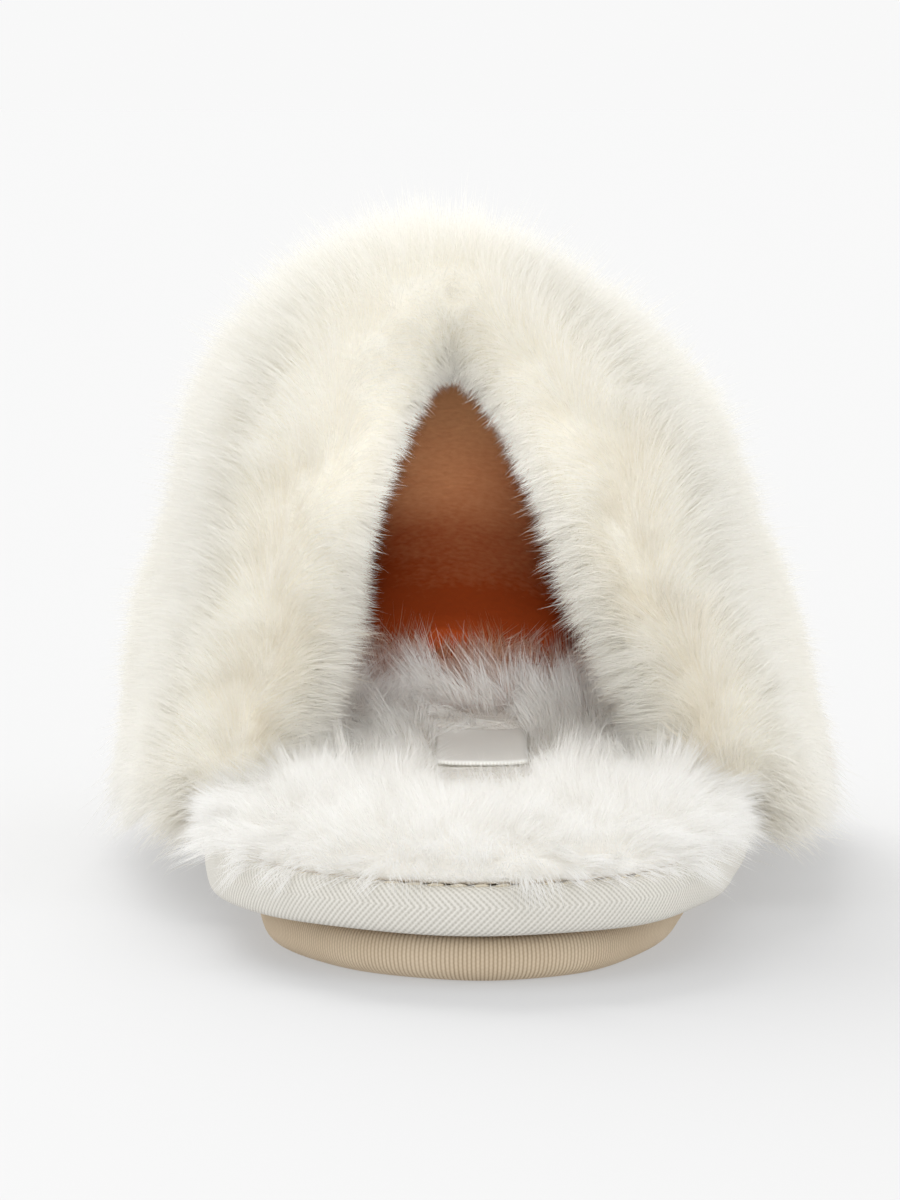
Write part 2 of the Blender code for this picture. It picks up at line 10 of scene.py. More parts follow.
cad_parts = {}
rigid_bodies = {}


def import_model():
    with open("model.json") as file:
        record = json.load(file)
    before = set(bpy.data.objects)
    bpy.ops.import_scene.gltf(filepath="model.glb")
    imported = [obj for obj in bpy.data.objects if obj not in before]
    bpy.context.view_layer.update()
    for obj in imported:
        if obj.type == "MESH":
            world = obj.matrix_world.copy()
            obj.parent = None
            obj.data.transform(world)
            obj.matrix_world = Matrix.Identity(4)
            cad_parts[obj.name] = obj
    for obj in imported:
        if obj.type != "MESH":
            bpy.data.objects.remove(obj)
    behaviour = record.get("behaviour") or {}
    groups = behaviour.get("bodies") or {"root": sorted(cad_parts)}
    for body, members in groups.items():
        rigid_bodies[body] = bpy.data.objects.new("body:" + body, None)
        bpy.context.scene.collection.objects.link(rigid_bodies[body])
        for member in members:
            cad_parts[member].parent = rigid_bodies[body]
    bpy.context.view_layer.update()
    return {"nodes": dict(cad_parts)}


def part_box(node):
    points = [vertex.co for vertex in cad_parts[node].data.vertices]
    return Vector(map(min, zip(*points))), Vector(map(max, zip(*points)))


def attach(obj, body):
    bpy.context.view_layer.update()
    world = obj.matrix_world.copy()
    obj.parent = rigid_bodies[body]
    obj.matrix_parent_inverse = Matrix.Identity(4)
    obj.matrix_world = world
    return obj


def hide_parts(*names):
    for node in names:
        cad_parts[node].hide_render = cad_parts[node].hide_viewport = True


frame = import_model()
mm = 0.001
upward = np.array([0, 0, 1.0])
heelward = np.array([0, -1.0, 0])
print("frame loaded")


# Shader wires: an expression on values adds its Math nodes
class Wire:
    def __init__(self, tree, socket=None):
        self.tree = tree
        self.socket = socket

    def node(self, kind, settings=None, sockets=None, output=0):
        made = self.tree.nodes.new("ShaderNode" + kind)
        for name, value in (settings or {}).items():
            setattr(made, name, value)
        for name, value in (sockets or {}).items():
            if isinstance(value, Wire):
                self.tree.links.new(value.socket, made.inputs[name])
            else:
                made.inputs[name].default_value = value
        return Wire(self.tree, made.outputs[output])

    def spots(self):  # places on the piece
        return self.node("TexCoord", None, None, 3)

    def part(self, number):  # 0, 1 or 2 of a place's three
        return self.node("SeparateXYZ", None, {0: self}, number)

    def maths(self, operation, first, second=0.0):
        return self.node("Math", {"operation": operation}, {0: first, 1: second})

    def mix(self, first, second):
        sockets = {0: self, 6: first, 7: second}
        return self.node("Mix", {"data_type": "RGBA", "clamp_factor": True}, sockets, 2)

    def __add__(self, other):
        return self.maths("ADD", self, other)

    def __sub__(self, other):
        return self.maths("SUBTRACT", self, other)

    def __rsub__(self, other):
        return self.maths("SUBTRACT", other, self)

    def __mul__(self, other):
        return self.maths("MULTIPLY", self, other)

    def __truediv__(self, other):
        return self.maths("DIVIDE", self, other)

    def __pow__(self, other):
        return self.maths("POWER", self, other)

    __radd__ = __add__
    __rmul__ = __mul__


def paint(red, green, blue):  # a colour as seen on a screen, 0 to 255
    linear = []
    for level in (red, green, blue):
        share = level / 255
        linear.append(share / 12.92 if share <= 0.04045 else ((share + 0.055) / 1.055) ** 2.4)
    return (*linear, 1.0)


def newFinish(name, roughness, gloss):
    material = bpy.data.materials.new(name)
    material.use_nodes = True
    shader = material.node_tree.nodes["Principled BSDF"]
    shader.inputs["Roughness"].default_value = roughness
    shader.inputs["Specular IOR Level"].default_value = gloss
    return material, shader, Wire(material.node_tree)


def feed(shader, socket, wire):
    wire.tree.links.new(wire.socket, shader.inputs[socket])


def emboss(shader, height, strength, depth):  # depth in mm
    bump = height.node("Bump", None, {"Strength": strength, "Distance": depth * mm, "Height": height})
    feed(shader, "Normal", bump)


def speckle(spots, scale, detail, **others):
    return spots.node("TexNoise", None, {"Vector": spots, "Scale": scale, "Detail": detail, **others})


def tuftedHeight(spots, body):  # soft lumps on what lies under a pile
    fine = speckle(spots, body["fineScale"], 4.0, Roughness=0.7)
    locks = speckle(spots, body["lockScale"], 2.0, Distortion=1.5)
    return fine * body["fineShare"] + locks * (1 - body["fineShare"])


# Small tools for pieces
def unit(vectors):
    return vectors / np.maximum(np.linalg.norm(vectors, axis=-1, keepdims=True), 1e-12)


def smoothStep(low, high, value):
    share = np.clip((value - low) / (high - low), 0, 1)
    return share * share * (3 - 2 * share)


def runAlong(points):  # the distance from the first point to each
    return np.concatenate([[0], np.cumsum(np.linalg.norm(np.diff(points, axis=0), axis=1))])


def activate(piece):
    bpy.ops.object.select_all(action="DESELECT")
    piece.select_set(True)
    bpy.context.view_layer.objects.active = piece


def shapedGrid(name, points, maps=None):  # a grid primitive pulled into shape, its seams welded
    rows, columns = points.shape[:2]
    bpy.ops.object.select_all(action="DESELECT")
    bpy.ops.mesh.primitive_grid_add(x_subdivisions=columns - 1, y_subdivisions=rows - 1, calc_uvs=True)
    piece = bpy.context.object
    piece.name = name
    piece.data.name = name
    piece.location = (0, 0, 0)
    piece.data.vertices.foreach_set("co", points.reshape(-1))
    if maps is not None:
        corners = np.empty(len(piece.data.loops), dtype=np.int32)
        piece.data.loops.foreach_get("vertex_index", corners)
        piece.data.uv_layers.active.uv.foreach_set("vector", maps.reshape(-1, 2)[corners].reshape(-1))
    bpy.ops.object.mode_set(mode="EDIT")
    bpy.ops.mesh.select_all(action="SELECT")
    bpy.ops.mesh.remove_doubles(threshold=0.01 * mm)
    bpy.ops.object.mode_set(mode="OBJECT")
    bpy.ops.object.shade_smooth()
    return piece


def subdivide(piece, levels):
    activate(piece)
    bpy.ops.object.modifier_add(type="SUBSURF")
    rounding = piece.modifiers[-1]
    rounding.levels = levels
    rounding.render_levels = levels
    bpy.ops.object.modifier_apply(modifier=rounding.name)


def thicken(piece, thickness):  # inwards from the shown side
    activate(piece)
    bpy.ops.object.modifier_add(type="SOLIDIFY")
    wall = piece.modifiers[-1]
    wall.thickness = thickness
    wall.offset = -1
    bpy.ops.object.modifier_apply(modifier=wall.name)


def settle(piece, finish, nodes=()):
    piece.data.materials.clear()
    piece.data.materials.append(finish)
    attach(piece, "root")
    if nodes:
        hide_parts(*nodes)
    print("made", piece.name, len(piece.data.polygons), "faces")


# The shoe's own lines, read from the solids, in mm
shoe = {
    "toeLift": 6.0, "liftFrom": 62.2, "liftTo": 116.2,  # toe spring
    "archRise": 1.8, "archFrom": -41.8, "archTo": 10.2,
    "edgeHeight": 3.1, "edgeRays": 1440, "rayStart": 400.0,
    "edgePoints": 240, "roundWaves": 26,
    "spineHeel": 30.0, "spineToe": 36.0,  # the middle line stops short of both ends
    "upperRows": 44, "upperColumns": 61, "rowCrowding": 1.4,
    "axisX": -6.0, "axisAboveRim": 1.0, "wall": 2.6, "midWall": 0.6,
    "collarLow": -50.0, "collarHigh": 12.0, "collarMargin": 0.2, "halvings": 20,
    "toeMargin": 1.0, "innerDome": 0.5, "domeTurns": (20, 40, 60, 75, 90),
    "smoothTurns": 6, "toeRows": 8, "fallRows": 6, "toeFall": (0, 0.2, -1.0),
}


def toeRise(y):
    share = np.clip((y / mm - shoe["liftFrom"]) / (shoe["liftTo"] - shoe["liftFrom"]), 0, None)
    return shoe["toeLift"] * mm * share**2


def archRise(y):
    share = np.clip((y / mm - shoe["archFrom"]) / (shoe["archTo"] - shoe["archFrom"]), 0, 1)
    return shoe["archRise"] * mm * np.sin(np.pi * share) ** 2


def levelTree(node):  # the solid with its toe spring taken out, so that its rings lie level
    mesh = frame["nodes"][node].data
    points = np.empty(len(mesh.vertices) * 3)
    mesh.vertices.foreach_get("co", points)
    points = points.reshape(-1, 3)
    points[:, 2] -= toeRise(points[:, 1])
    mesh.calc_loop_triangles()
    corners = np.empty(len(mesh.loop_triangles) * 3, dtype=np.int32)
    mesh.loop_triangles.foreach_get("vertices", corners)
    return BVHTree.FromPolygons(points.tolist(), corners.reshape(-1, 3).tolist())


def footEdge():  # anticlockwise from the toe, evenly spaced
    tree = levelTree("binding")
    low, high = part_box("binding")
    middle = Vector(((low.x + high.x) / 2, (low.y + high.y) / 2, low.z + shoe["edgeHeight"] * mm))
    hits = []
    for turn in np.linspace(0.5 * math.pi, 2.5 * math.pi, shoe["edgeRays"], endpoint=False):
        way = Vector((math.cos(turn), math.sin(turn), 0))
        hits.append(tree.ray_cast(middle + way * (shoe["rayStart"] * mm), -way)[0][:2])
    closed = np.array(hits + hits[:1])
    run = runAlong(closed)
    at = np.linspace(0, run[-1], shoe["edgePoints"], endpoint=False)
    wave = np.fft.fft(np.interp(at, run, closed[:, 0]) + 1j * np.interp(at, run, closed[:, 1]))
    wave[shoe["roundWaves"]:-shoe["roundWaves"]] = 0
    even = np.fft.ifft(wave)
    return np.stack([even.real, even.imag], axis=-1), run[-1]


edge, edgeLength = footEdge()
edgeAlong = unit(np.roll(edge, -1, axis=0) - np.roll(edge, 1, axis=0))
edgeIn = np.stack([-edgeAlong[:, 1], edgeAlong[:, 0]], axis=-1)
edgeRun = np.arange(len(edge) + 1) * edgeLength / len(edge)
heelIndex = len(edge) // 2
mirrored = np.roll(edge[::-1], 1, axis=0)  # the point across from each
spine = (edge + mirrored) / 2
middleLine = np.concatenate([spine[heelIndex:], spine[:1]])  # from heel to toe


def spineAt(y):
    return np.interp(y, middleLine[:, 1], middleLine[:, 0])


spine[:, 1] = np.clip(
    spine[:, 1], edge[:, 1].min() + shoe["spineHeel"] * mm, edge[:, 1].max() - shoe["spineToe"] * mm)
spine[:, 0] = spineAt(spine[:, 1])


def ringRow(inset, height, arch=0.0, sideInset=0.0, toSpine=0.0):
    flat = edge + edgeIn * ((inset + sideInset * edgeIn[:, :1] ** 2) * mm)
    flat = flat + (spine - flat) * toSpine
    lift = height * mm + toeRise(flat[:, 1]) + arch * archRise(flat[:, 1])
    row = np.column_stack([flat, lift])
    return np.concatenate([row, row[:1]])


def gridMaps(rows):  # metres round the foot and metres up the section
    rise = runAlong(rows[:, heelIndex])
    return np.stack(np.broadcast_arrays(edgeRun[None, :], rise[:, None]), axis=-1).astype(np.float32)


def closingRows(ring, baseZ, endY):  # a low dome over the toe's last ring
    centre = np.array([ring[:, 0].mean(), ring[:, 1].mean(), baseZ])
    rows = []
    for turn in np.radians(shoe["domeTurns"]):
        rows.append(centre + (ring - centre) * math.cos(turn))
        rows[-1][:, 1] += (endY - centre[1]) * math.sin(turn)
    return np.stack(rows)


def upperGrids():
    tree = levelTree("upper")
    low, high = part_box("upper")
    baseZ = low.z + shoe["axisAboveRim"] * mm
    toeEnd = high.y - (shoe["wall"] + shoe["toeMargin"]) * mm

    def cast(y, turn):
        start = Vector((shoe["axisX"] * mm, y, baseZ))
        way = Vector((math.sin(turn), 0, math.cos(turn)))
        inside = tree.ray_cast(start, way)[0]
        if inside is None:
            return None
        outside = tree.ray_cast(inside + way * shoe["midWall"] * mm, way)[0]
        return None if outside is None else (inside, outside)

    turns = np.linspace(-0.5 * math.pi, 0.5 * math.pi, shoe["upperColumns"])
    shares = np.linspace(0, 1, shoe["upperRows"]) ** shoe["rowCrowding"]
    inner = np.empty((len(shares), len(turns), 3))
    outer = np.empty_like(inner)
    collar = np.empty(len(turns))
    for column, turn in enumerate(turns):
        openY, wallY = shoe["collarLow"] * mm, shoe["collarHigh"] * mm
        for step in range(shoe["halvings"]):  # halve in on the collar's edge
            middle = (openY + wallY) / 2
            if cast(middle, turn) is None:
                openY = middle
            else:
                wallY = middle
        collar[column] = wallY
        for row, share in enumerate(shares):
            y = wallY + shoe["collarMargin"] * mm + share * (toeEnd - wallY)
            inner[row, column], outer[row, column] = cast(y, turn)
    for grid in (inner, outer):  # the solid's flat faces are rounded off
        for turn in range(shoe["smoothTurns"]):
            grid[:, 1:-1] = (grid[:, :-2] + 2 * grid[:, 1:-1] + grid[:, 2:]) / 4
            grid[1:-1] = (grid[:-2] + 2 * grid[1:-1] + grid[2:]) / 4
    innerEnd = inner[-1, :, 1].max() + shoe["innerDome"] * mm
    outer = np.concatenate([outer, closingRows(outer[-1], baseZ, high.y)])
    inner = np.concatenate([inner, closingRows(inner[-1], baseZ, innerEnd)])
    for grid in (inner, outer):  # the end columns drop from the axis to the rim
        grid[:, 0, 2] -= shoe["axisAboveRim"] * mm
        grid[:, -1, 2] -= shoe["axisAboveRim"] * mm
        grid[..., 2] += toeRise(grid[..., 1])
    return inner, outer, collar, toeEnd


innerWall, outerWall, collarY, toeEnd = upperGrids()
lastRow = shoe["upperRows"] - 1  # rows past this close the toe


def gridNormals(grid):
    across = np.gradient(grid, axis=1)
    ahead = np.gradient(grid, axis=0)
    normals = unit(np.cross(across, ahead))
    normals[-1] = (0, 1, 0)
    return normals, unit(across), unit(ahead)


outerNormal, outerAcross, outerAhead = gridNormals(outerWall)
turnFrom = lastRow - shoe["toeRows"]
for turn in range(shoe["smoothTurns"]):  # the pile turns evenly to face forwards at the toe
    outerNormal[turnFrom:-1] = unit(
        outerNormal[turnFrom - 1:-2] + 2 * outerNormal[turnFrom:-1] + outerNormal[turnFrom + 1:])
fallShare = np.clip((np.arange(len(outerWall)) - lastRow - 1) / shoe["fallRows"] + 1, 0, 1)[:, None, None]
outerAhead = unit(outerAhead * (1 - fallShare) + np.array(shoe["toeFall"]) * fallShare)
collarMiddle = (innerWall[0] + outerWall[0]) / 2
collarOut = outerNormal[0]
collarAlong = unit(np.gradient(collarMiddle, axis=0))
collarHeel = unit(np.cross(collarAlong, collarOut))  # out of the opening, across the edge
collarHeel *= np.where(collarHeel[:, 1:2] > 0, -1, 1)
print("lines read from the solids")


def pick(grid, row, column):  # a smooth value between a grid's points
    row = np.clip(row, 0, grid.shape[0] - 1.001)
    column = np.clip(column, 0, grid.shape[1] - 1.001)
    lowRow, lowColumn = row.astype(int), column.astype(int)
    down, over = (row - lowRow)[:, None], (column - lowColumn)[:, None]
    near = grid[lowRow, lowColumn] * (1 - over) + grid[lowRow, lowColumn + 1] * over
    far = grid[lowRow + 1, lowColumn] * (1 - over) + grid[lowRow + 1, lowColumn + 1] * over
    return near * (1 - down) + far * down


def rowAt(depth, column):  # the row that lies a depth in metres from the collar's edge
    span = toeEnd - np.interp(column, np.arange(len(collarY)), collarY)
    return (np.clip(depth / span, 0, 1) ** (1 / shoe["rowCrowding"])) * lastRow


def sideOf(column):  # from -1 at the inner hem to 1 at the outer hem
    centre = (shoe["upperColumns"] - 1) / 2
    return (column - centre) / centre


# Sole: foam wrapped in ribbed knit
sole = {
    "section": (  # inset, height, share of the arch's rise
        (7.6, 0.0, 1.0), (6.4, 0.08, 0.97), (5.4, 0.5, 0.9), (4.7, 1.15, 0.75), (4.3, 2.0, 0.6),
        (4.15, 3.2, 0.35), (4.3, 4.4, 0.2), (4.75, 5.4, 0.1), (5.6, 6.1, 0.0)),
    "closing": (0.2, 0.5, 0.8, 1.0), "sideInset": 3.0,  # shares of the way to the middle line
    "ribPitch": 1.44, "stitchPitch": 0.55, "ribDepth": 0.2,  # two ribs to a pitch
    "ribCurve": 0.7, "ribShare": 0.85, "loopShare": 0.06, "cloudScale": 60.0, "cloudShare": 0.55,
    # the dark colour is painted shade for the grooves between the ribs
    "light": paint(228, 211, 186), "dark": paint(186, 163, 133), "toneShare": 0.935, "roughness": 0.85,
}


def makeSoleFinish():
    material, shader, wire = newFinish("soleKnit", sole["roughness"], 0.25)
    maps = wire.node("UVMap", {"uv_map": "UVMap"})
    around, rise = maps.part(0), maps.part(1)
    rib = wire.maths("SINE", around * (2 * math.pi / (sole["ribPitch"] * mm)))
    offset = wire.maths("SIGN", rib) * (0.5 * math.pi)
    loop = wire.maths("SINE", rise * (2 * math.pi / (sole["stitchPitch"] * mm)) + offset)
    height = wire.maths("ABSOLUTE", rib) ** sole["ribCurve"] * sole["ribShare"] + loop * sole["loopShare"]
    cloud = speckle(wire.spots(), sole["cloudScale"], 3.0)
    # low in the ribs the colour darkens: painted shade in the grooves; the cloud varies the tone at random
    tone = height * sole["toneShare"] + (cloud - 0.5) * sole["cloudShare"]
    feed(shader, "Base Color", tone.mix(sole["dark"], sole["light"]))
    emboss(shader, height, 0.8, sole["ribDepth"])
    return material


def makeSole():
    side = sole["sideInset"]
    rows = [ringRow(*sole["section"][0], side, share) for share in reversed(sole["closing"])]
    rows += [ringRow(*ring, side) for ring in sole["section"]]
    rows += [ringRow(*sole["section"][-1], side, share) for share in sole["closing"]]
    rows = np.stack(rows)
    piece = shapedGrid("soleCover", rows, gridMaps(rows))
    subdivide(piece, 1)
    settle(piece, makeSoleFinish(), ["outsole"])


# Edge tape: herringbone twill folded round the footbed's edge
tape = {
    "bottom": 6.5, "top": 12.8, "lip": 4.5, "thick": 1.2, "bulge": 0.25, "flat": 2.4,
    "wave": 0.14, "waves": ((7, 0.6, 0.6), (17, 2.0, 0.5)),  # times round, shift, share
    "ribPitch": 0.9, "threadPitch": 0.75, "ribDepth": 0.16, "ribShare": 0.38, "threadShare": 0.12,
    # the dark colour is painted shade for the twill's grooves
    "light": paint(230, 227, 219), "dark": paint(192, 188, 178), "roughness": 0.75,
}


def makeTapeFinish():
    material, shader, wire = newFinish("edgeTwill", tape["roughness"], 0.3)
    maps = wire.node("UVMap", {"uv_map": "UVMap"})
    around, rise = maps.part(0), maps.part(1)
    middle = (tape["lip"] + (tape["top"] - tape["bottom"]) / 2) * mm
    aside = wire.maths("ABSOLUTE", rise - middle)
    rib = wire.maths("SINE", (around + aside) * (2 * math.pi / (tape["ribPitch"] * mm)))
    thread = wire.maths("SINE", (around - aside) * (2 * math.pi / (tape["threadPitch"] * mm)))
    height = rib * tape["ribShare"] + thread * tape["threadShare"] + 0.5
    # low in the twill the colour darkens: painted shade in the weave's grooves
    feed(shader, "Base Color", (height * 1.3 + 0.1).mix(tape["dark"], tape["light"]))
    emboss(shader, height, 0.9, tape["ribDepth"])
    return material


def makeTape():
    low, high, lip, thick, flat = (tape[name] for name in ("bottom", "top", "lip", "thick", "flat"))
    middle = (low + high) / 2
    section = [  # inset and height, from the lower lip round the outside and back inside
        (lip, low + 0.25), (flat, low), (1.0, low + 0.05), (0.35, low + 0.45), (0.05, low + 1.2),
        (-tape["bulge"], middle), (0.05, high - 1.2), (0.35, high - 0.45), (1.0, high - 0.05),
        (flat, high + 0.1), (lip, high), (lip, high - thick), (flat, high - thick),
        (thick, high - thick - 0.3), (thick, middle), (thick, low + thick + 0.3), (flat, low + thick),
        (lip, low + thick + 0.25), (lip, low + 0.25)]
    turn = np.arange(len(edge)) * 2 * np.pi / len(edge)
    wave = tape["wave"] * sum(np.sin(times * turn + shift) * share for times, shift, share in tape["waves"])
    rows = np.stack([ringRow(inset, height) for inset, height in section])
    rows[..., 2] += np.append(wave, wave[0]) * mm
    piece = shapedGrid("edgeTape", rows, gridMaps(rows))
    subdivide(piece, 1)
    settle(piece, makeTapeFinish(), ["binding"])


# Seam: short cream stitches along the tape's upper edge
stitch = {
    "length": 2.3, "thick": 0.5, "spacing": 3.2, "inset": 1.9, "slant": 0.25,
    "colour": paint(226, 214, 190), "roughness": 0.7, "twistScale": 2500.0, "twistDepth": 0.1,
}


def makeThreadFinish():
    material, shader, wire = newFinish("seamThread", stitch["roughness"], 0.3)
    twist = speckle(wire.spots(), stitch["twistScale"], 2.0)
    # low in the twist the thread takes the tape's darker colour: painted shade
    feed(shader, "Base Color", (twist * 0.8 + 0.2).mix(tape["dark"], stitch["colour"]))
    emboss(shader, twist, 0.6, stitch["twistDepth"])
    return material


def makeStitches():
    bpy.ops.object.select_all(action="DESELECT")
    bpy.ops.mesh.primitive_uv_sphere_add(segments=8, ring_count=6, radius=0.5)
    bead = bpy.context.object
    corners = np.array([corner.co for corner in bead.data.vertices])
    faces = []
    for face in bead.data.polygons:  # each from its lowest corner, in the same order each run
        around = list(face.vertices)
        start = around.index(min(around))
        faces.append(around[start:] + around[:start])
    faces.sort()
    bpy.data.objects.remove(bead)
    row = ringRow(stitch["inset"], tape["top"])
    number = int(edgeLength / (stitch["spacing"] * mm))
    at = (np.arange(number) + 0.5) * edgeLength / number
    places = np.stack([np.interp(at, edgeRun, row[:, k]) for k in range(3)], axis=-1)
    ends = np.stack([np.interp(at + 0.5 * mm, edgeRun, row[:, k]) for k in range(3)], axis=-1)
    along = unit(ends - places)
    across = unit(np.cross(upward, along))
    along = unit(along + across * stitch["slant"])
    sizes = corners * np.array([stitch["length"], stitch["thick"], stitch["thick"]]) * mm
    points = places[:, None] + along[:, None] * sizes[None, :, :1] + across[:, None] * sizes[None, :, 1:2]
    points = points + upward * sizes[None, :, 2:]
    allFaces = []
    for copy in range(number):
        allFaces += [[corner + len(corners) * copy for corner in face] for face in faces]
    mesh = bpy.data.meshes.new("seamStitches")
    mesh.from_pydata(points.reshape(-1, 3).tolist(), [], allFaces)
    mesh.polygons.foreach_set("use_smooth", np.ones(len(allFaces), dtype=bool))
    piece = bpy.data.objects.new("seamStitches", mesh)
    bpy.context.collection.objects.link(piece)
    settle(piece, makeThreadFinish())


# Insole pad: what the fine pile is rooted in
pad = {
    "heelTop": 16.4, "rises": ((-36.0, 10.0, 5.6), (18.0, 44.0, -4.6)),  # from, to, how much, in mm
    "closing": (1.0, 0.8, 0.5, 0.2),  # shares of the way to the middle line
    "under": ((1.9, 8.4), (1.6, 9.4), (1.6, 10.6), (2.2, 11.3), (5.0, 11.5)),  # inset, height
    "side": (  # inset, height, share of the swell
        (4.7, 12.85, 0.0), (2.6, 12.95, 0.0), (2.3, 13.5, 0.1), (3.0, 14.4, 0.4), (5.6, 15.4, 0.75),
        (9.0, 16.1, 0.92)),
    "topInset": 12.0, "topShares": (0.0, 0.15, 0.3, 0.42, 0.54, 0.62, 0.7, 0.78, 0.88, 1.0),
    "pitWide": 7.6, "pitBlend": 2.4, "pitStart": 12.0, "pitEnd": 2.2, "pitNear": 1.0, "pitFar": 3.4,
    # the second colour is painted shade for the hollows between tufts, the third painted shade for the gap
    # low on the pad's side by the tape
    "colour": paint(252, 250, 245), "deep": paint(246, 242, 234), "foot": paint(206, 182, 152),
    "footTop": 12.6, "footBlend": 0.8, "roughness": 0.9,
    "fineScale": 700.0, "lockScale": 170.0, "fineShare": 0.45, "tuftDepth": 2.4,
}


def padRise(x, y):  # the footbed swells towards the instep, with a pit for the label
    low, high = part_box("label")
    swell = sum(rise * smoothStep(start * mm, end * mm, y) for start, end, rise in pad["rises"])
    aside = np.abs(x - (low.x + high.x) / 2)
    lane = 1 - smoothStep(pad["pitWide"] * mm, (pad["pitWide"] + pad["pitBlend"]) * mm, aside)
    before = 1 - smoothStep(high.y + 0.2 * mm, high.y + pad["pitEnd"] * mm, y)
    places = [low.y - pad["pitStart"] * mm, low.y, high.y]
    pressed = np.interp(y, places, [0, pad["pitNear"], pad["pitFar"]])
    return (swell + (pressed - swell) * lane * before) * mm


def padRows():
    rows = [ringRow(*pad["under"][0], 0.0, 0.0, share) for share in pad["closing"]]
    rows += [ringRow(inset, height) for inset, height in pad["under"]]
    for inset, height, swell in pad["side"]:
        rows.append(ringRow(inset, height))
        rows[-1][:, 2] += padRise(rows[-1][:, 0], rows[-1][:, 1]) * swell
    for share in pad["topShares"]:
        rows.append(ringRow(pad["topInset"], pad["heelTop"], 0.0, 0.0, share))
        rows[-1][:, 2] += padRise(rows[-1][:, 0], rows[-1][:, 1])
    return np.stack(rows)


def makePadFinish():
    material, shader, wire = newFinish("padPile", pad["roughness"], 0.2)
    spots = wire.spots()
    tufts = tuftedHeight(spots, pad)
    # the hollows between the tufts take a painted shade
    pale = ((tufts - 0.35) * 3.2).mix(pad["deep"], pad["colour"])
    # below a set height the pad turns tan: painted shade for the gap by the tape
    climb = (spots.part(2) - pad["footTop"] * mm) / (pad["footBlend"] * mm) + (tufts - 0.5)
    feed(shader, "Base Color", climb.mix(pad["foot"], pale))
    emboss(shader, tufts, 0.9, pad["tuftDepth"])
    return material


def makePad():
    piece = shapedGrid("insolePad", padRows())
    settle(piece, makePadFinish(), ["insole"])


# Upper wall, lined inside with brushed rust-brown cloth
lining = {
    # darker low down, lighter high up: painted shade below and painted light above
    "low": paint(156, 68, 28), "high": paint(244, 186, 134), "shadedBelowZ": 34.0, "litAboveZ": 76.0,
    "roughness": 0.95, "cloudScale": 45.0, "cloudShare": 0.5,
    "napScale": 900.0, "napShare": 0.3, "napDepth": 0.25,
}


def makeLiningFinish():
    material, shader, wire = newFinish("rustLining", lining["roughness"], 0.05)
    spots = wire.spots()
    # the colour climbs from the dark low end to the light high end: painted shade and painted light by
    # height
    climb = (spots.part(2) - lining["shadedBelowZ"] * mm) / ((lining["litAboveZ"] - lining["shadedBelowZ"]) * mm)
    cloud = speckle(spots, lining["cloudScale"], 3.0)
    nap = speckle(spots, lining["napScale"], 3.0)
    tone = climb + (cloud - 0.5) * lining["cloudShare"] + (nap - 0.5) * lining["napShare"]
    feed(shader, "Base Color", tone.mix(lining["low"], lining["high"]))
    emboss(shader, nap, 0.5, lining["napDepth"])
    return material


def makeUpper():
    rows = np.concatenate([outerWall, innerWall[:, ::-1], outerWall[:, :1]], axis=1)
    middle = np.concatenate([collarMiddle, collarMiddle[::-1], collarMiddle[:1]])
    piece = shapedGrid("upperWall", np.concatenate([middle[None], rows]))
    settle(piece, makeLiningFinish(), ["upper"])


# Fur backing: the soft body that the long pile is rooted in
backing = {
    "depth": 7.6, "evenRows": 16, "thick": 1.8, "rimDrop": 0.8, "rimTuck": 4.0,
    "lapTop": 3.0, "lapSide": 6.4, "lapBlend": (0.05, 0.5), "lapLength": 13.0,
    "lapShares": (1.0, 0.85, 0.6, 0.3), "hemShare": 0.15, "rollTurns": (180, 150, 120, 90, 60, 30, 0),
    "fullAt": (-1.0, -0.6, -0.45, -0.35, -0.24, -0.1, 0.1, 0.24, 0.35, 0.55, 1.0),  # sides, as sideOf
    "fuller": (0.4, 0.8, -0.4, 1.4, 4.2, 4.0, 0.6, 1.4, 1.9, -2.2, -2.0),
    # the second colour is painted shade for the hollows between tufts
    "colour": paint(249, 247, 239), "deep": paint(245, 240, 226), "roughness": 0.9,
    "fineScale": 600.0, "lockScale": 130.0, "fineShare": 0.5, "tuftDepth": 2.0,
}


def makeBackingFinish():
    material, shader, wire = newFinish("furBacking", backing["roughness"], 0.2)
    tufts = tuftedHeight(wire.spots(), backing)
    # the hollows between the tufts take a painted shade
    feed(shader, "Base Color", ((tufts - 0.35) * 3.0).mix(backing["deep"], backing["colour"]))
    emboss(shader, tufts, 0.8, backing["tuftDepth"])
    return material


def furDepth(column, row=0.0):  # even all round at the toe's end
    fuller = np.interp(sideOf(column), backing["fullAt"], backing["fuller"])
    return backing["depth"] + fuller * (1 - smoothStep(lastRow - backing["evenRows"], lastRow, row))


def lapBetween(top, side, column):  # the lap inside the collar is thin at the top of the arch
    return top + (side - top) * smoothStep(*backing["lapBlend"], np.abs(sideOf(column)))


def lapDepth(column):
    return lapBetween(backing["lapTop"], backing["lapSide"], column)


def rollReach(turn, column):  # from the middle of the collar's edge to the backing's face
    lap = lapDepth(column)
    return (shoe["wall"] / 2 + lap + (furDepth(column) - lap) * (0.5 + 0.5 * np.cos(turn))) * mm


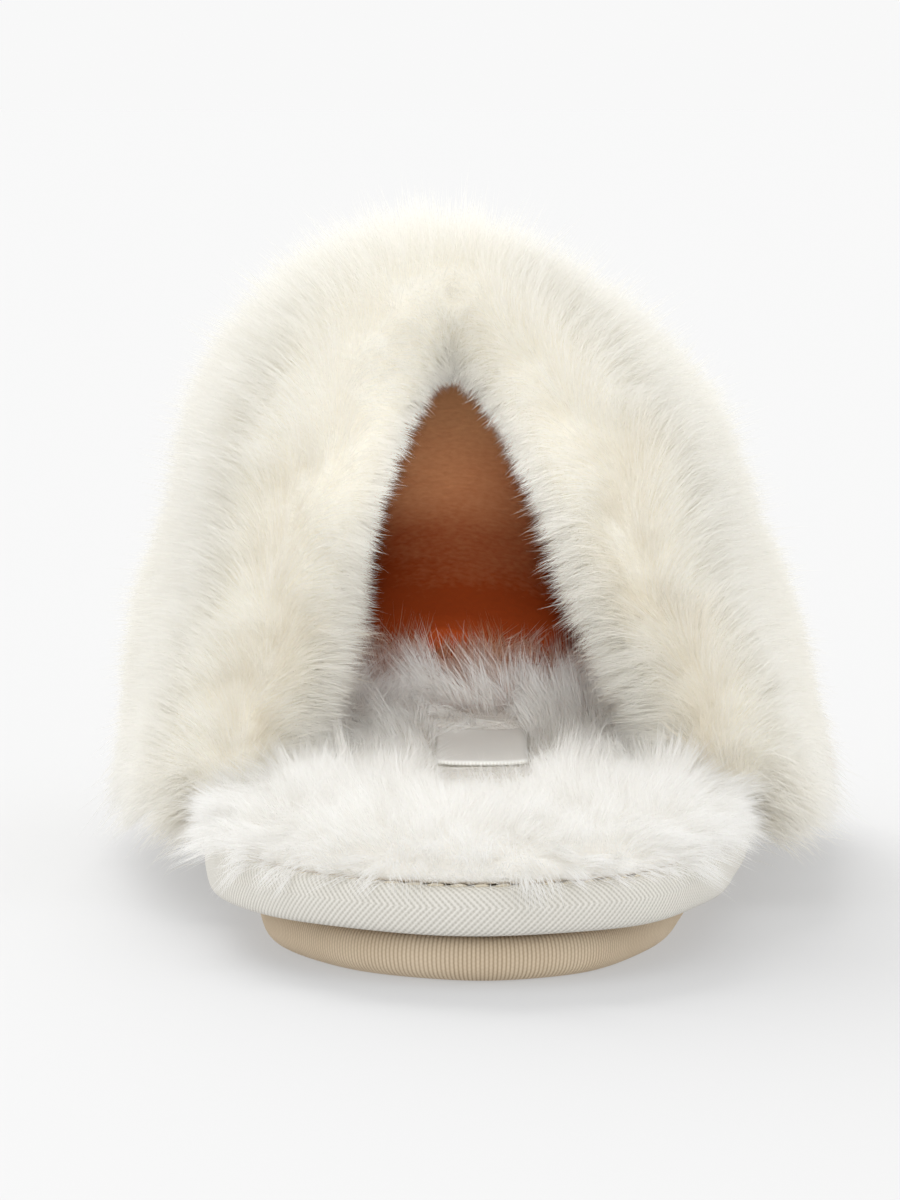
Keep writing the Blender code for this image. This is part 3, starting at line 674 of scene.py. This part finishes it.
def makeBacking():
    columns = np.arange(shoe["upperColumns"], dtype=float)
    rows = []
    for share in backing["lapShares"]:  # the lap inside the collar, from its hem out
        at = rowAt(backing["lapLength"] * share * mm, columns)
        depth = lapDepth(columns) * mm * (backing["hemShare"] if share == 1.0 else 1.0)
        rows.append(pick(innerWall, at, columns) - pick(outerNormal, at, columns) * depth[:, None])
    for turn in np.radians(backing["rollTurns"]):
        around = collarOut * math.cos(turn) + collarHeel * math.sin(turn)
        rows.append(collarMiddle + around * rollReach(turn, columns)[:, None])
    for row in range(2, len(outerWall)):
        rows.append(outerWall[row] + outerNormal[row] * (furDepth(columns, row) * mm)[:, None])
    rows = np.stack(rows)
    rim = rows[:, [0, -1]].copy()
    middleY = np.minimum(rim[..., 1], spine[:, 1].max())
    inward = np.stack([spineAt(middleY) - rim[..., 0], middleY - rim[..., 1]], axis=-1)
    rim[..., :2] += unit(inward) * backing["rimTuck"] * mm
    rim[..., 2] -= backing["rimDrop"] * mm
    rows = np.concatenate([rim[:, :1], rows, rim[:, 1:]], axis=1)
    piece = shapedGrid("furBacking", rows)
    thicken(piece, backing["thick"] * mm)
    settle(piece, makeBackingFinish(), ["upper_fur"])


# Hair: tapered ribbons grown in locks, many to a mesh
hair = {
    "layLean": 0.6, "layStray": 0.7, "shortest": 0.4, "longest": 1.7, "clumpCurve": 0.8, "lowest": 0.8,
    "turned": 0.6, "thinnest": 0.7, "widest": 1.3, "taper": 0.2,
    "lockTone": 0.6, "hairTone": 0.5, "leastWarm": 0.3, "mostWarm": 1.3,
}


def hairPaths(coat, roots, lay, droop, lengths, shares, dice):  # each hair's run, its lock, all locks
    count = len(roots)
    lockHair = dice.choice(count, max(1, count // coat["hairsPerLock"]), replace=False)
    tree = KDTree(len(lockHair))
    for number, first in enumerate(lockHair):
        tree.insert(roots[first], number)
    tree.balance()
    lock = np.array([tree.find(root)[1] for root in roots])
    noise.seed_set(coat["swirlSeed"])
    swirl = np.array([noise.noise_vector(roots[first] / (coat["swirlSize"] * mm)) for first in lockHair])
    lean = (swirl * coat["swirl"] + dice.normal(0, coat["lockLean"], swirl.shape))[lock]
    stray = dice.normal(0, coat["hairLean"], (count, 3))
    lay = unit(lay + lean * hair["layLean"] + stray * hair["layStray"])
    droop = unit(droop + lean + stray)
    grown = 1 + dice.normal(0, coat["lockLength"], len(lockHair))[lock]
    wisps = np.where(dice.random(count) < coat["wisps"], coat["wispLength"], 1.0)
    grown = grown * (1 + dice.normal(0, coat["hairLength"], count))
    lengths = lengths * np.clip(grown, hair["shortest"], hair["longest"]) * wisps
    share = shares[None, :, None]
    paths = lay[:, None] * (share - share**2 / 2) + droop[:, None] * (share**2 / 2)
    paths = roots[:, None] + paths * lengths[:, None, None]
    leader = lockHair[lock]
    aim = paths[leader] + ((roots - roots[leader]) * coat["lockSpread"])[:, None]
    paths = paths + (aim - paths) * (coat["clump"] * share ** hair["clumpCurve"])
    return paths, lock, len(lockHair)


def ribbonMesh(name, points):  # one ribbon a row, pointed at root and tip
    count, corners = points.shape[:2]
    ribbon = [[0, 1, 2]]
    for left in range(1, corners - 3, 2):
        ribbon += [[left, left + 2, left + 1], [left + 1, left + 2, left + 3]]
    ribbon.append([corners - 3, corners - 1, corners - 2])
    faces = np.array(ribbon)[None] + (np.arange(count) * corners)[:, None, None]
    mesh = bpy.data.meshes.new(name)
    mesh.vertices.add(count * corners)
    mesh.vertices.foreach_set("co", points.reshape(-1))
    mesh.loops.add(faces.size)
    mesh.loops.foreach_set("vertex_index", faces.reshape(-1).astype(np.int32))
    mesh.polygons.add(faces.size // 3)
    mesh.polygons.foreach_set("loop_start", np.arange(0, faces.size, 3, dtype=np.int32))
    mesh.polygons.foreach_set("use_smooth", np.ones(faces.size // 3, dtype=bool))
    mesh.update(calc_edges=True)
    return mesh


def growHair(name, finish, coat, hairs, dice, bends=1):
    roots, normals, lay, droop, lengths, shadeBounceTint = hairs
    count = len(roots)
    shares = np.linspace(0, 1, bends + 2)
    paths, lock, locks = hairPaths(coat, roots, lay, droop, lengths, shares, dice)
    run = paths[:, -1] - paths[:, 0]
    aside = unit(np.cross(run, normals * coat["facing"] + dice.normal(0, hair["turned"], (count, 3))))
    front = unit(np.cross(run, aside))
    outward = np.where(np.sum(front * normals, axis=1) < 0, -1.0, 1.0)[:, None]
    aside, front = aside * outward, front * outward
    half = aside * (coat["width"] * mm / 2 * dice.uniform(hair["thinnest"], hair["widest"], count))[:, None]
    corners = 2 * bends + 2
    points = np.empty((count, corners, 3))
    points[:, 0] = paths[:, 0]
    for bend in range(1, bends + 1):
        narrower = half * (1 + hair["taper"] - hair["taper"] * bend)
        points[:, 2 * bend - 1] = paths[:, bend] - narrower
        points[:, 2 * bend] = paths[:, bend] + narrower
    points[:, -1] = paths[:, -1]
    points[..., 2] = np.maximum(points[..., 2], hair["lowest"] * mm)
    mesh = ribbonMesh(name, points)
    tones = dice.normal(0, hair["lockTone"], locks)[lock] + dice.normal(0, hair["hairTone"], count)
    shadeBounceTint = shadeBounceTint * dice.uniform(hair["leastWarm"], hair["mostWarm"], locks)[lock]
    reached = np.repeat(shares, [1] + [2] * bends + [1])
    for field, values in (("along", np.tile(reached, count)), ("tone", np.repeat(tones, corners)),
                          ("shadeBounceTint", np.repeat(shadeBounceTint, corners))):
        mesh.attributes.new(field, "FLOAT", "POINT").data.foreach_set("value", values.astype(np.float32))
    soft = unit(normals * coat["soften"] + front * (1 - coat["soften"]))
    mesh.normals_split_custom_set_from_vertices(np.repeat(soft, corners, axis=0).tolist())
    piece = bpy.data.objects.new(name, mesh)
    bpy.context.collection.objects.link(piece)
    settle(piece, finish)


def makeHairFinish(name, coat):
    material, shader, wire = newFinish(name, coat["roughness"], 0.25)
    along, tone, shadeBounceTint = (wire.node("Attribute", {"attribute_name": field}, None, 2)
                           for field in ("along", "tone", "shadeBounceTint"))
    cloud = speckle(wire.spots(), coat["patchScale"], 2.0)
    pale = along * coat["rootFade"] + tone * coat["toneShare"]
    pale = pale + (cloud - 0.5) * coat["patchShare"] + coat["paleness"]
    # the warm tint is partly painted light bounced from the rust lining and painted shade deep in the pile
    feed(shader, "Base Color", shadeBounceTint.mix(pale.mix(coat["root"], coat["tip"]), coat["shadeBounceColour"]))
    glow = wire.node("BsdfTranslucent", None, {"Color": coat["tip"]})
    blend = wire.node("MixShader", None, {0: coat["glow"], 1: Wire(wire.tree, shader.outputs[0]), 2: glow})
    output = material.node_tree.nodes["Material Output"]
    wire.tree.links.new(blend.socket, output.inputs["Surface"])
    return material


def scatter(grid, weight, count, dice):  # places spread evenly over a grid's area, times a weight
    across = grid[:-1, 1:] - grid[:-1, :-1]
    ahead = grid[1:, :-1] - grid[:-1, :-1]
    area = np.linalg.norm(np.cross(across, ahead), axis=-1) * weight
    cells = dice.choice(area.size, count, p=area.reshape(-1) / area.sum())
    row = cells // area.shape[1] + dice.random(count)
    column = cells % area.shape[1] + dice.random(count)
    return row, column


# Long cream pile on the upper
fur = {
    "seed": 11, "hairsPerLock": 40, "lockLean": 0.07, "hairLean": 0.12, "lockLength": 0.06,
    "hairLength": 0.18, "swirl": 0.25, "swirlSize": 16.0, "swirlSeed": 3, "wisps": 0.03, "wispLength": 1.5,
    "lockSpread": 0.7, "clump": 0.2, "facing": 0.6, "width": 0.068, "soften": 0.15, "rootSink": 1.2,
    "rollSoft": {"wisps": 0.0, "hairLean": 0.22, "lockLean": 0.16},  # ragged, with no long wisps
    "roughness": 0.55, "patchScale": 55.0, "rootFade": 0.75, "toneShare": 0.10, "patchShare": 0.5,
    "paleness": 0.22, "glow": 0.45,
    # the last colour is a warm tint, on the lap painted light bounced from the rust lining
    "root": paint(244, 241, 232), "tip": paint(249, 248, 244.5), "shadeBounceColour": paint(238, 226, 202),
    "outerHairs": 196000, "thickAt": (-30.0, 40.0, 60.0), "thick": (1.7, 1.3, 0.8),
    "sideLength": 5.6, "topLength": 8.6, "hemLength": 9.0, "hemBlend": (0.86, 1.0),
    "collarBlend": (4.0, 40.0),
    "toeFrom": 42.0, "seamAt": (-50.0, 120.0), "seamX": (-4.0, -9.0),  # where the pieces part
    "rollHairs": 46000, "rollFrom": -15, "rollTo": 195,  # degrees round the collar's edge, from outside
    "partingTop": 45.0, "partingSide": 90.0, "partingWide": 30, "fallWide": 22,
    "wander": ((13, 0.55, 1.0), (9, 1.3, 2.2)),  # degrees, pace, shift
    "rollIn": 8.0, "rollInParting": 2.0, "rollInTop": -4.5, "rollOut": 7.0, "rollOutParting": 4.0,
    "lapHairs": 22000, "lapTop": 3.0, "lapSide": 9.0, "lapShorter": 0.3,
    "ends": ((0, -1, 3000), (-1, 1, 4000)),  # column, side, hairs
    "endSpread": (1.8, 3.0, 2.4), "endFrom": (3.0, -3.0, 1.5), "endLength": 8.0,
}


def outerHairs(dice):
    weight = np.interp(outerWall[:-1, :-1, 1], np.array(fur["thickAt"]) * mm, fur["thick"])
    row, column = scatter(outerWall, weight, fur["outerHairs"], dice)
    wall = pick(outerWall, row, column)
    normal = unit(pick(outerNormal, row, column))
    ahead = unit(pick(outerAhead, row, column))
    side = sideOf(column)
    hemward = unit(pick(outerAcross, row, column)) * np.sign(side)[:, None]
    hemward = hemward * np.minimum(np.abs(side) * 4, 1)[:, None]
    depth = wall[:, 1] - np.interp(column, np.arange(len(collarY)), collarY)
    inside = smoothStep(fur["collarBlend"][0] * mm, fur["collarBlend"][1] * mm, depth)[:, None]
    roots = wall + normal * ((furDepth(column, row) - fur["rootSink"]) * mm)[:, None]
    top = np.cos(side * math.pi / 2)[:, None] ** 2
    rim = smoothStep(*fur["hemBlend"], np.abs(side))[:, None]
    lay = unit(normal * (0.85 - 0.15 * inside) + ahead * 0.4 * inside + hemward * (0.1 + 0.5 * rim))
    droop = unit(normal * (0.7 - 0.35 * inside + 0.2 * top) + ahead * (0.15 + 0.6 * inside)
                 + hemward * (0.3 + 0.7 * rim))
    length = fur["sideLength"] + (fur["topLength"] - fur["sideLength"]) * top[:, 0]
    length += (fur["hemLength"] - length) * rim[:, 0]
    return roots, normal, lay, droop, length * mm, np.zeros(len(roots))


def collarSpread(count, dice):  # columns that lie evenly along the collar's edge
    run = runAlong(collarMiddle)
    return np.interp(dice.random(count) * run[-1], run, np.arange(len(run)))


def rollHairs(dice):
    count = fur["rollHairs"]
    column = collarSpread(count, dice)
    turn = np.radians(dice.uniform(fur["rollFrom"], fur["rollTo"], count))

    def at(values):
        return pick(values[None].repeat(2, axis=0), np.zeros(count), column)

    side = sideOf(column)
    top = np.cos(side * math.pi / 2) ** 4
    out, heel = unit(at(collarOut)), unit(at(collarHeel))
    climb = unit(at(collarAlong)) * np.clip(-side * 3, -1, 1)[:, None]
    wander = sum(size * np.sin(column * pace + shift) for size, pace, shift in fur["wander"])
    parting = fur["partingSide"] + (fur["partingTop"] - fur["partingSide"]) * top + wander
    past = np.degrees(turn) - parting  # below zero the hair falls outwards
    near = np.exp(-((past / fur["partingWide"]) ** 2))[:, None]
    radial = unit(out * np.cos(turn)[:, None] + heel * np.sin(turn)[:, None])
    tangent = out * np.sin(turn)[:, None] - heel * np.cos(turn)[:, None]
    inward = (past > 0)[:, None]
    fall = np.where(inward, -0.4 * tangent - 0.8 * out, 0.5 * tangent + 0.65 * out)
    fall = fall * np.tanh(np.abs(past) / fur["fallWide"])[:, None]
    roots = at(collarMiddle) + radial * (rollReach(turn, column) - fur["rootSink"] * mm)[:, None]
    lay = unit(radial * 0.6 + climb * 0.9 * near + fall * 0.3 * (1 - near))
    droop = unit(fall + climb * (0.15 + 0.5 * near) + radial * 0.25)
    near = near[:, 0]
    lengthIn = fur["rollIn"] + fur["rollInParting"] * near + fur["rollInTop"] * top
    length = np.where(inward[:, 0], lengthIn, fur["rollOut"] + fur["rollOutParting"] * near)
    return roots, radial, lay, droop, length * mm, near**2 * (0.6 - 0.4 * top)


def lapHairs(dice):
    count = fur["lapHairs"]
    column = collarSpread(count, dice)
    depth = dice.random(count) * backing["lapLength"] * mm
    row = rowAt(depth, column)
    normal = -unit(pick(outerNormal, row, column))
    ahead = unit(pick(outerAhead, row, column))
    roots = pick(innerWall, row, column) + normal * ((lapDepth(column) - fur["rootSink"]) * mm)[:, None]
    lay = unit(normal * 0.8 + ahead * 0.15 + heelward * 0.2)
    droop = unit(normal * 0.75 + ahead * 0.45 - upward * 0.12)
    length = lapBetween(fur["lapTop"], fur["lapSide"], column)
    length = length * (1 - fur["lapShorter"] * depth / (backing["lapLength"] * mm))
    # the whole lap takes half the warm tint: painted light bounced from the rust lining
    return roots, normal, lay, droop, length * mm, np.full(count, 0.5)


def endHairs(dice):  # the tufts where the collar comes down to the tape
    parts = []
    for column, side, count in fur["ends"]:
        outwards = np.array([side, 1, 1])
        spread = dice.normal(0, 1, (count, 3)) * np.array(fur["endSpread"]) * mm
        roots = collarMiddle[column] + np.array(fur["endFrom"]) * outwards * mm + spread
        out = unit(np.array([1.0, -0.6, 0.1]) * outwards + dice.normal(0, 0.25, (count, 3)))
        down = unit(np.array([0.6, -0.3, -0.6]) * outwards + dice.normal(0, 0.2, (count, 3)))
        parts.append((roots, out, out, down, np.full(count, fur["endLength"] * mm), np.full(count, 0.2)))
    return tuple(np.concatenate(values) for values in zip(*parts))


def makeFur():
    finish = makeHairFinish("creamPile", fur)
    dice = np.random.default_rng(fur["seed"])
    hairs = outerHairs(dice)
    x, y = hairs[0][:, 0], hairs[0][:, 1]
    seam = np.interp(y, np.array(fur["seamAt"]) * mm, np.array(fur["seamX"]) * mm)
    toe = y > fur["toeFrom"] * mm
    for name, chosen in (("furLeft", ~toe & (x < seam)), ("furRight", ~toe & (x >= seam)), ("furToe", toe)):
        growHair(name, finish, fur, tuple(values[chosen] for values in hairs), dice)
    soft = {**fur, **fur["rollSoft"]}
    growHair("furRoll", finish, soft, rollHairs(dice), dice, 2)
    growHair("furLap", finish, soft, lapHairs(dice), dice, 2)
    growHair("furEnds", finish, fur, endHairs(dice), dice, 2)


# Fine white pile on the insole
pile = {
    "seed": 23, "hairsPerLock": 50, "lockLean": 0.3, "hairLean": 0.18, "lockLength": 0.16,
    "hairLength": 0.18, "swirl": 1.25, "swirlSize": 11.0, "swirlSeed": 5, "wisps": 0.01, "wispLength": 1.3,
    "lockSpread": 0.7, "clump": 0.4, "facing": 0.5, "width": 0.075, "soften": 0.15,
    "roughness": 0.55, "patchScale": 60.0, "rootFade": 0.75, "toneShare": 0.08, "patchShare": 0.35,
    "paleness": 0.3, "glow": 0.45,
    # the warm colour is a tan: painted shade, with light bounced from the rust lining, for the pile deep in
    # the throat
    "root": paint(244, 242, 237), "tip": paint(249, 248.5, 247), "shadeBounceColour": paint(206, 152, 114),
    "hairs": 90000, "thickAt": (-45.0, -30.0, 20.0, 50.0), "thick": (1.7, 2.1, 2.0, 0.5),
    "edgeRows": 7, "edgeShare": 3.0, "shoulderRows": (2.5, 6.0), "lipRows": (0.5, 2.5),
    "lengthAt": (-36.0, 10.0, 26.0, 45.0), "lengths": (8.0, 10.5, 10.5, 8.5),  # tallest at the throat
    "edgeLength": 6.4, "edgeTo": 10.0, "ragged": 0.6, "raggedPace": 0.4, "raggedRow": 3.0,
    "pressed": 0.9, "pressWide": (0.8, 1.6), "pressFrom": 66, "pressTo": 14,  # mm before the label
    "wallAt": (-14.0, 0.0), "shadeTintAt": (12.0, 28.0), "labelMargin": 0.4,
}


def pileHairs(dice):
    below = len(pad["closing"]) + len(pad["under"]) + 1
    grid = padRows()[below:]  # from the pad's side to its middle line
    middle = (grid[:-1, :-1] + grid[1:, 1:]) / 2
    weight = np.interp(middle[..., 1], np.array(pile["thickAt"]) * mm, pile["thick"])
    weight[:pile["edgeRows"]] *= np.linspace(pile["edgeShare"], 1, pile["edgeRows"])[:, None]
    row, column = scatter(grid, weight, pile["hairs"], dice)
    roots = pick(grid, row, column)
    x, y = roots[:, 0], roots[:, 1]
    outward = -np.concatenate([edgeIn, edgeIn[:1]])
    out = np.stack([np.interp(column, np.arange(len(outward)), outward[:, k]) for k in (0, 1)], axis=-1)
    out = np.column_stack([unit(out), np.zeros(len(out))])
    shoulder = (1 - smoothStep(*pile["shoulderRows"], row))[:, None]
    lip = (1 - smoothStep(*pile["lipRows"], row))[:, None]  # the lowest pile hangs over the tape
    lay = unit(upward * (0.9 - 0.3 * shoulder - 0.4 * lip) + out * (0.7 * shoulder + 0.2 * lip)
               + heelward * 0.15)
    droop = unit(upward * (0.35 - 0.45 * shoulder - 0.45 * lip) + out * 0.7 * shoulder
                 + heelward * (0.5 - 0.45 * shoulder))
    wall = smoothStep(pile["wallAt"][0] * mm, pile["wallAt"][1] * mm, y)[:, None]  # it faces the heel
    normal = unit(upward * (1 - 0.6 * shoulder - 0.5 * wall) + out * 0.6 * shoulder + heelward * wall)
    shoulder = shoulder[:, 0]
    length = np.interp(y, np.array(pile["lengthAt"]) * mm, pile["lengths"])
    length += (pile["edgeLength"] - length) * shoulder * (y < pile["edgeTo"] * mm)
    ragged = [noise.noise(Vector((place * pile["raggedPace"], pile["raggedRow"], 0))) for place in column]
    length *= 1 + pile["ragged"] * np.array(ragged) * shoulder
    low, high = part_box("label")
    aside = np.abs(x - (low.x + high.x) / 2) / (high.x - low.x) * 2
    before = smoothStep(low.y - pile["pressFrom"] * mm, low.y - pile["pressTo"] * mm, y) * (y < high.y)
    lane = 1 - smoothStep(*pile["pressWide"], aside)
    length = length * (1 - pile["pressed"] * lane * before)  # the pile is pressed down before the label
    # pile deeper in than this takes the tan: painted shade and bounced light
    shadeBounceTint = smoothStep(pile["shadeTintAt"][0] * mm, pile["shadeTintAt"][1] * mm, y)
    margin = pile["labelMargin"] * mm
    clear = (x < low.x - margin) | (x > high.x + margin) | (y < low.y - margin) | (y > high.y)
    return tuple(values[clear] for values in (roots, normal, lay, droop, length * mm, shadeBounceTint))


def makePile():
    dice = np.random.default_rng(pile["seed"])
    growHair("insolePile", makeHairFinish("whitePile", pile), pile, pileHairs(dice), dice)


# Label: a bare woven tab on the insole
label = {
    "thick": 0.5, "columns": 14, "rows": 20, "inset": 0.05, "curl": 0.35, "castFrom": 10.0,
    "weavePitch": 0.5, "weaveDepth": 0.08,
    "light": paint(252, 252, 249), "dark": paint(236, 234, 228), "roughness": 0.6,
}


def makeLabelFinish():
    material, shader, wire = newFinish("wovenTab", label["roughness"], 0.4)
    spots = wire.spots()
    across, ahead = spots.part(0), spots.part(1)
    pitch = 2 * math.pi / (label["weavePitch"] * mm)
    weave = wire.maths("SINE", across * pitch) * wire.maths("SINE", ahead * pitch) * 0.5 + 0.5
    # low in the weave the colour darkens: painted shade
    feed(shader, "Base Color", weave.mix(label["dark"], label["light"]))
    emboss(shader, weave, 0.4, label["weaveDepth"])
    return material


def makeLabel():
    tree = levelTree("label")
    low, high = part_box("label")
    inset = label["inset"] * mm
    across = np.linspace(low.x + inset, high.x - inset, label["columns"])
    ahead = np.linspace(low.y + inset, high.y - inset, label["rows"])
    points = np.empty((len(ahead), len(across), 3))
    for row, y in enumerate(ahead):
        for column, x in enumerate(across):
            hit = tree.ray_cast(Vector((x, y, high.z + label["castFrom"] * mm)), Vector((0, 0, -1)))[0]
            corner = ((x - low.x) / (high.x - low.x) * 2 - 1) ** 4
            points[row, column] = (x, y, hit.z + label["curl"] * corner * mm)
    piece = shapedGrid("labelTab", points)
    thicken(piece, label["thick"] * mm)
    settle(piece, makeLabelFinish(), ["label"])


# Camera, floor and light
stage = {
    "eye": (0.0, -0.9258, 0.112), "lens": 191.9, "sensor": 36.0, "farthest": 200.0,
    "focal": 6384, "aimLeft": 25, "aimDown": 501,  # pixels of the photograph
    "floor": paint(137, 137, 137), "floorGlow": 0.395, "floorRoughness": 0.9, "floorSize": 120.0,
    "backdrop": 0.94, "sky": 1.2, "bounces": 8,
    "lamps": {  # strength, where it stands, how wide it looks in degrees
        "shadowKey": (6.4, (-0.2, 0.9, 0.46), 36.0),  # for the floor alone
        "back": (0.5, (-0.25, 0.9, 0.46), 42.0),
        "fill": (0.25, (0.12, -1.0, 0.14), 50.0),
    },
    "snoots": {  # watts, from, to, cone in degrees
        "lowSnoot": (34.0, (0.0, -0.9, 0.13), (-0.0007, -0.02, 0.037), 2.4),
        "highSnoot": (60.0, (0.0, -0.9, 0.11), (-0.0028, -0.02, 0.057), 1.6),
    },
    "snootSize": 0.012,
}


def makeCamera():
    lensData = bpy.data.cameras.new("camera")
    lensData.lens = stage["lens"]
    lensData.sensor_width = stage["sensor"]
    lensData.clip_end = stage["farthest"]
    camera = bpy.data.objects.new("camera", lensData)
    bpy.context.collection.objects.link(camera)
    camera.location = stage["eye"]
    aim = Vector((-stage["aimLeft"] / stage["focal"], 1.0, -stage["aimDown"] / stage["focal"]))
    camera.rotation_euler = aim.to_track_quat("-Z", "Y").to_euler()
    bpy.context.scene.camera = camera


def makeFloor():
    bpy.ops.object.select_all(action="DESELECT")
    bpy.ops.mesh.primitive_plane_add(size=stage["floorSize"])
    floor = bpy.context.object
    floor.name = "floor"
    material, shader = newFinish("floorPaint", stage["floorRoughness"], 0.0)[:2]
    shader.inputs["Base Color"].default_value = stage["floor"]
    shader.inputs["Emission Color"].default_value = (1, 1, 1, 1)
    shader.inputs["Emission Strength"].default_value = stage["floorGlow"]
    floor.data.materials.append(material)
    return floor


def addLamp(name, kind, way, settings):  # it shines along the way
    lamp = bpy.data.lights.new(name, kind)
    for setting, value in settings.items():
        setattr(lamp, setting, value)
    light = bpy.data.objects.new(name, lamp)
    light.rotation_euler = way.to_track_quat("-Z", "Y").to_euler()
    bpy.context.collection.objects.link(light)
    return light


def makeLights(floor):
    floorOnly = bpy.data.collections.new("floorOnly")
    floorOnly.objects.link(floor)
    for name, (strength, stands, width) in stage["lamps"].items():
        light = addLamp(name, "SUN", -Vector(stands), {"energy": strength, "angle": math.radians(width)})
        if name == "shadowKey":
            light.light_linking.receiver_collection = floorOnly
    for name, (watts, stands, aim, cone) in stage["snoots"].items():  # these reach into the opening
        settings = {"energy": watts, "spot_size": math.radians(cone), "spot_blend": 1.0,
                    "shadow_soft_size": stage["snootSize"]}
        addLamp(name, "SPOT", Vector(aim) - Vector(stands), settings).location = stands
    world = bpy.data.worlds.new("studio")
    bpy.context.scene.world = world
    world.use_nodes = True
    background = world.node_tree.nodes["Background"]
    background.inputs["Color"].default_value = (1, 1, 1, 1)
    seen = Wire(world.node_tree).node("LightPath")
    feed(background, "Strength", seen * (stage["backdrop"] - stage["sky"]) + stage["sky"])
    bpy.context.scene.view_settings.view_transform = "Standard"
    tracer = bpy.context.scene.cycles  # white pile passes light on many times
    tracer.max_bounces = stage["bounces"]
    tracer.diffuse_bounces = stage["bounces"]
    tracer.transmission_bounces = stage["bounces"]
    print("stage set")


makeSole()
makeTape()
makeStitches()
makePad()
makeUpper()
makeBacking()
makeLabel()
makeFur()
makePile()

added = 0
for piece in bpy.data.objects:
    if piece.type == "MESH" and piece.name not in frame["nodes"]:
        added += sum(len(face.vertices) - 2 for face in piece.data.polygons)
print("triangles added", added)

makeCamera()
makeLights(makeFloor())
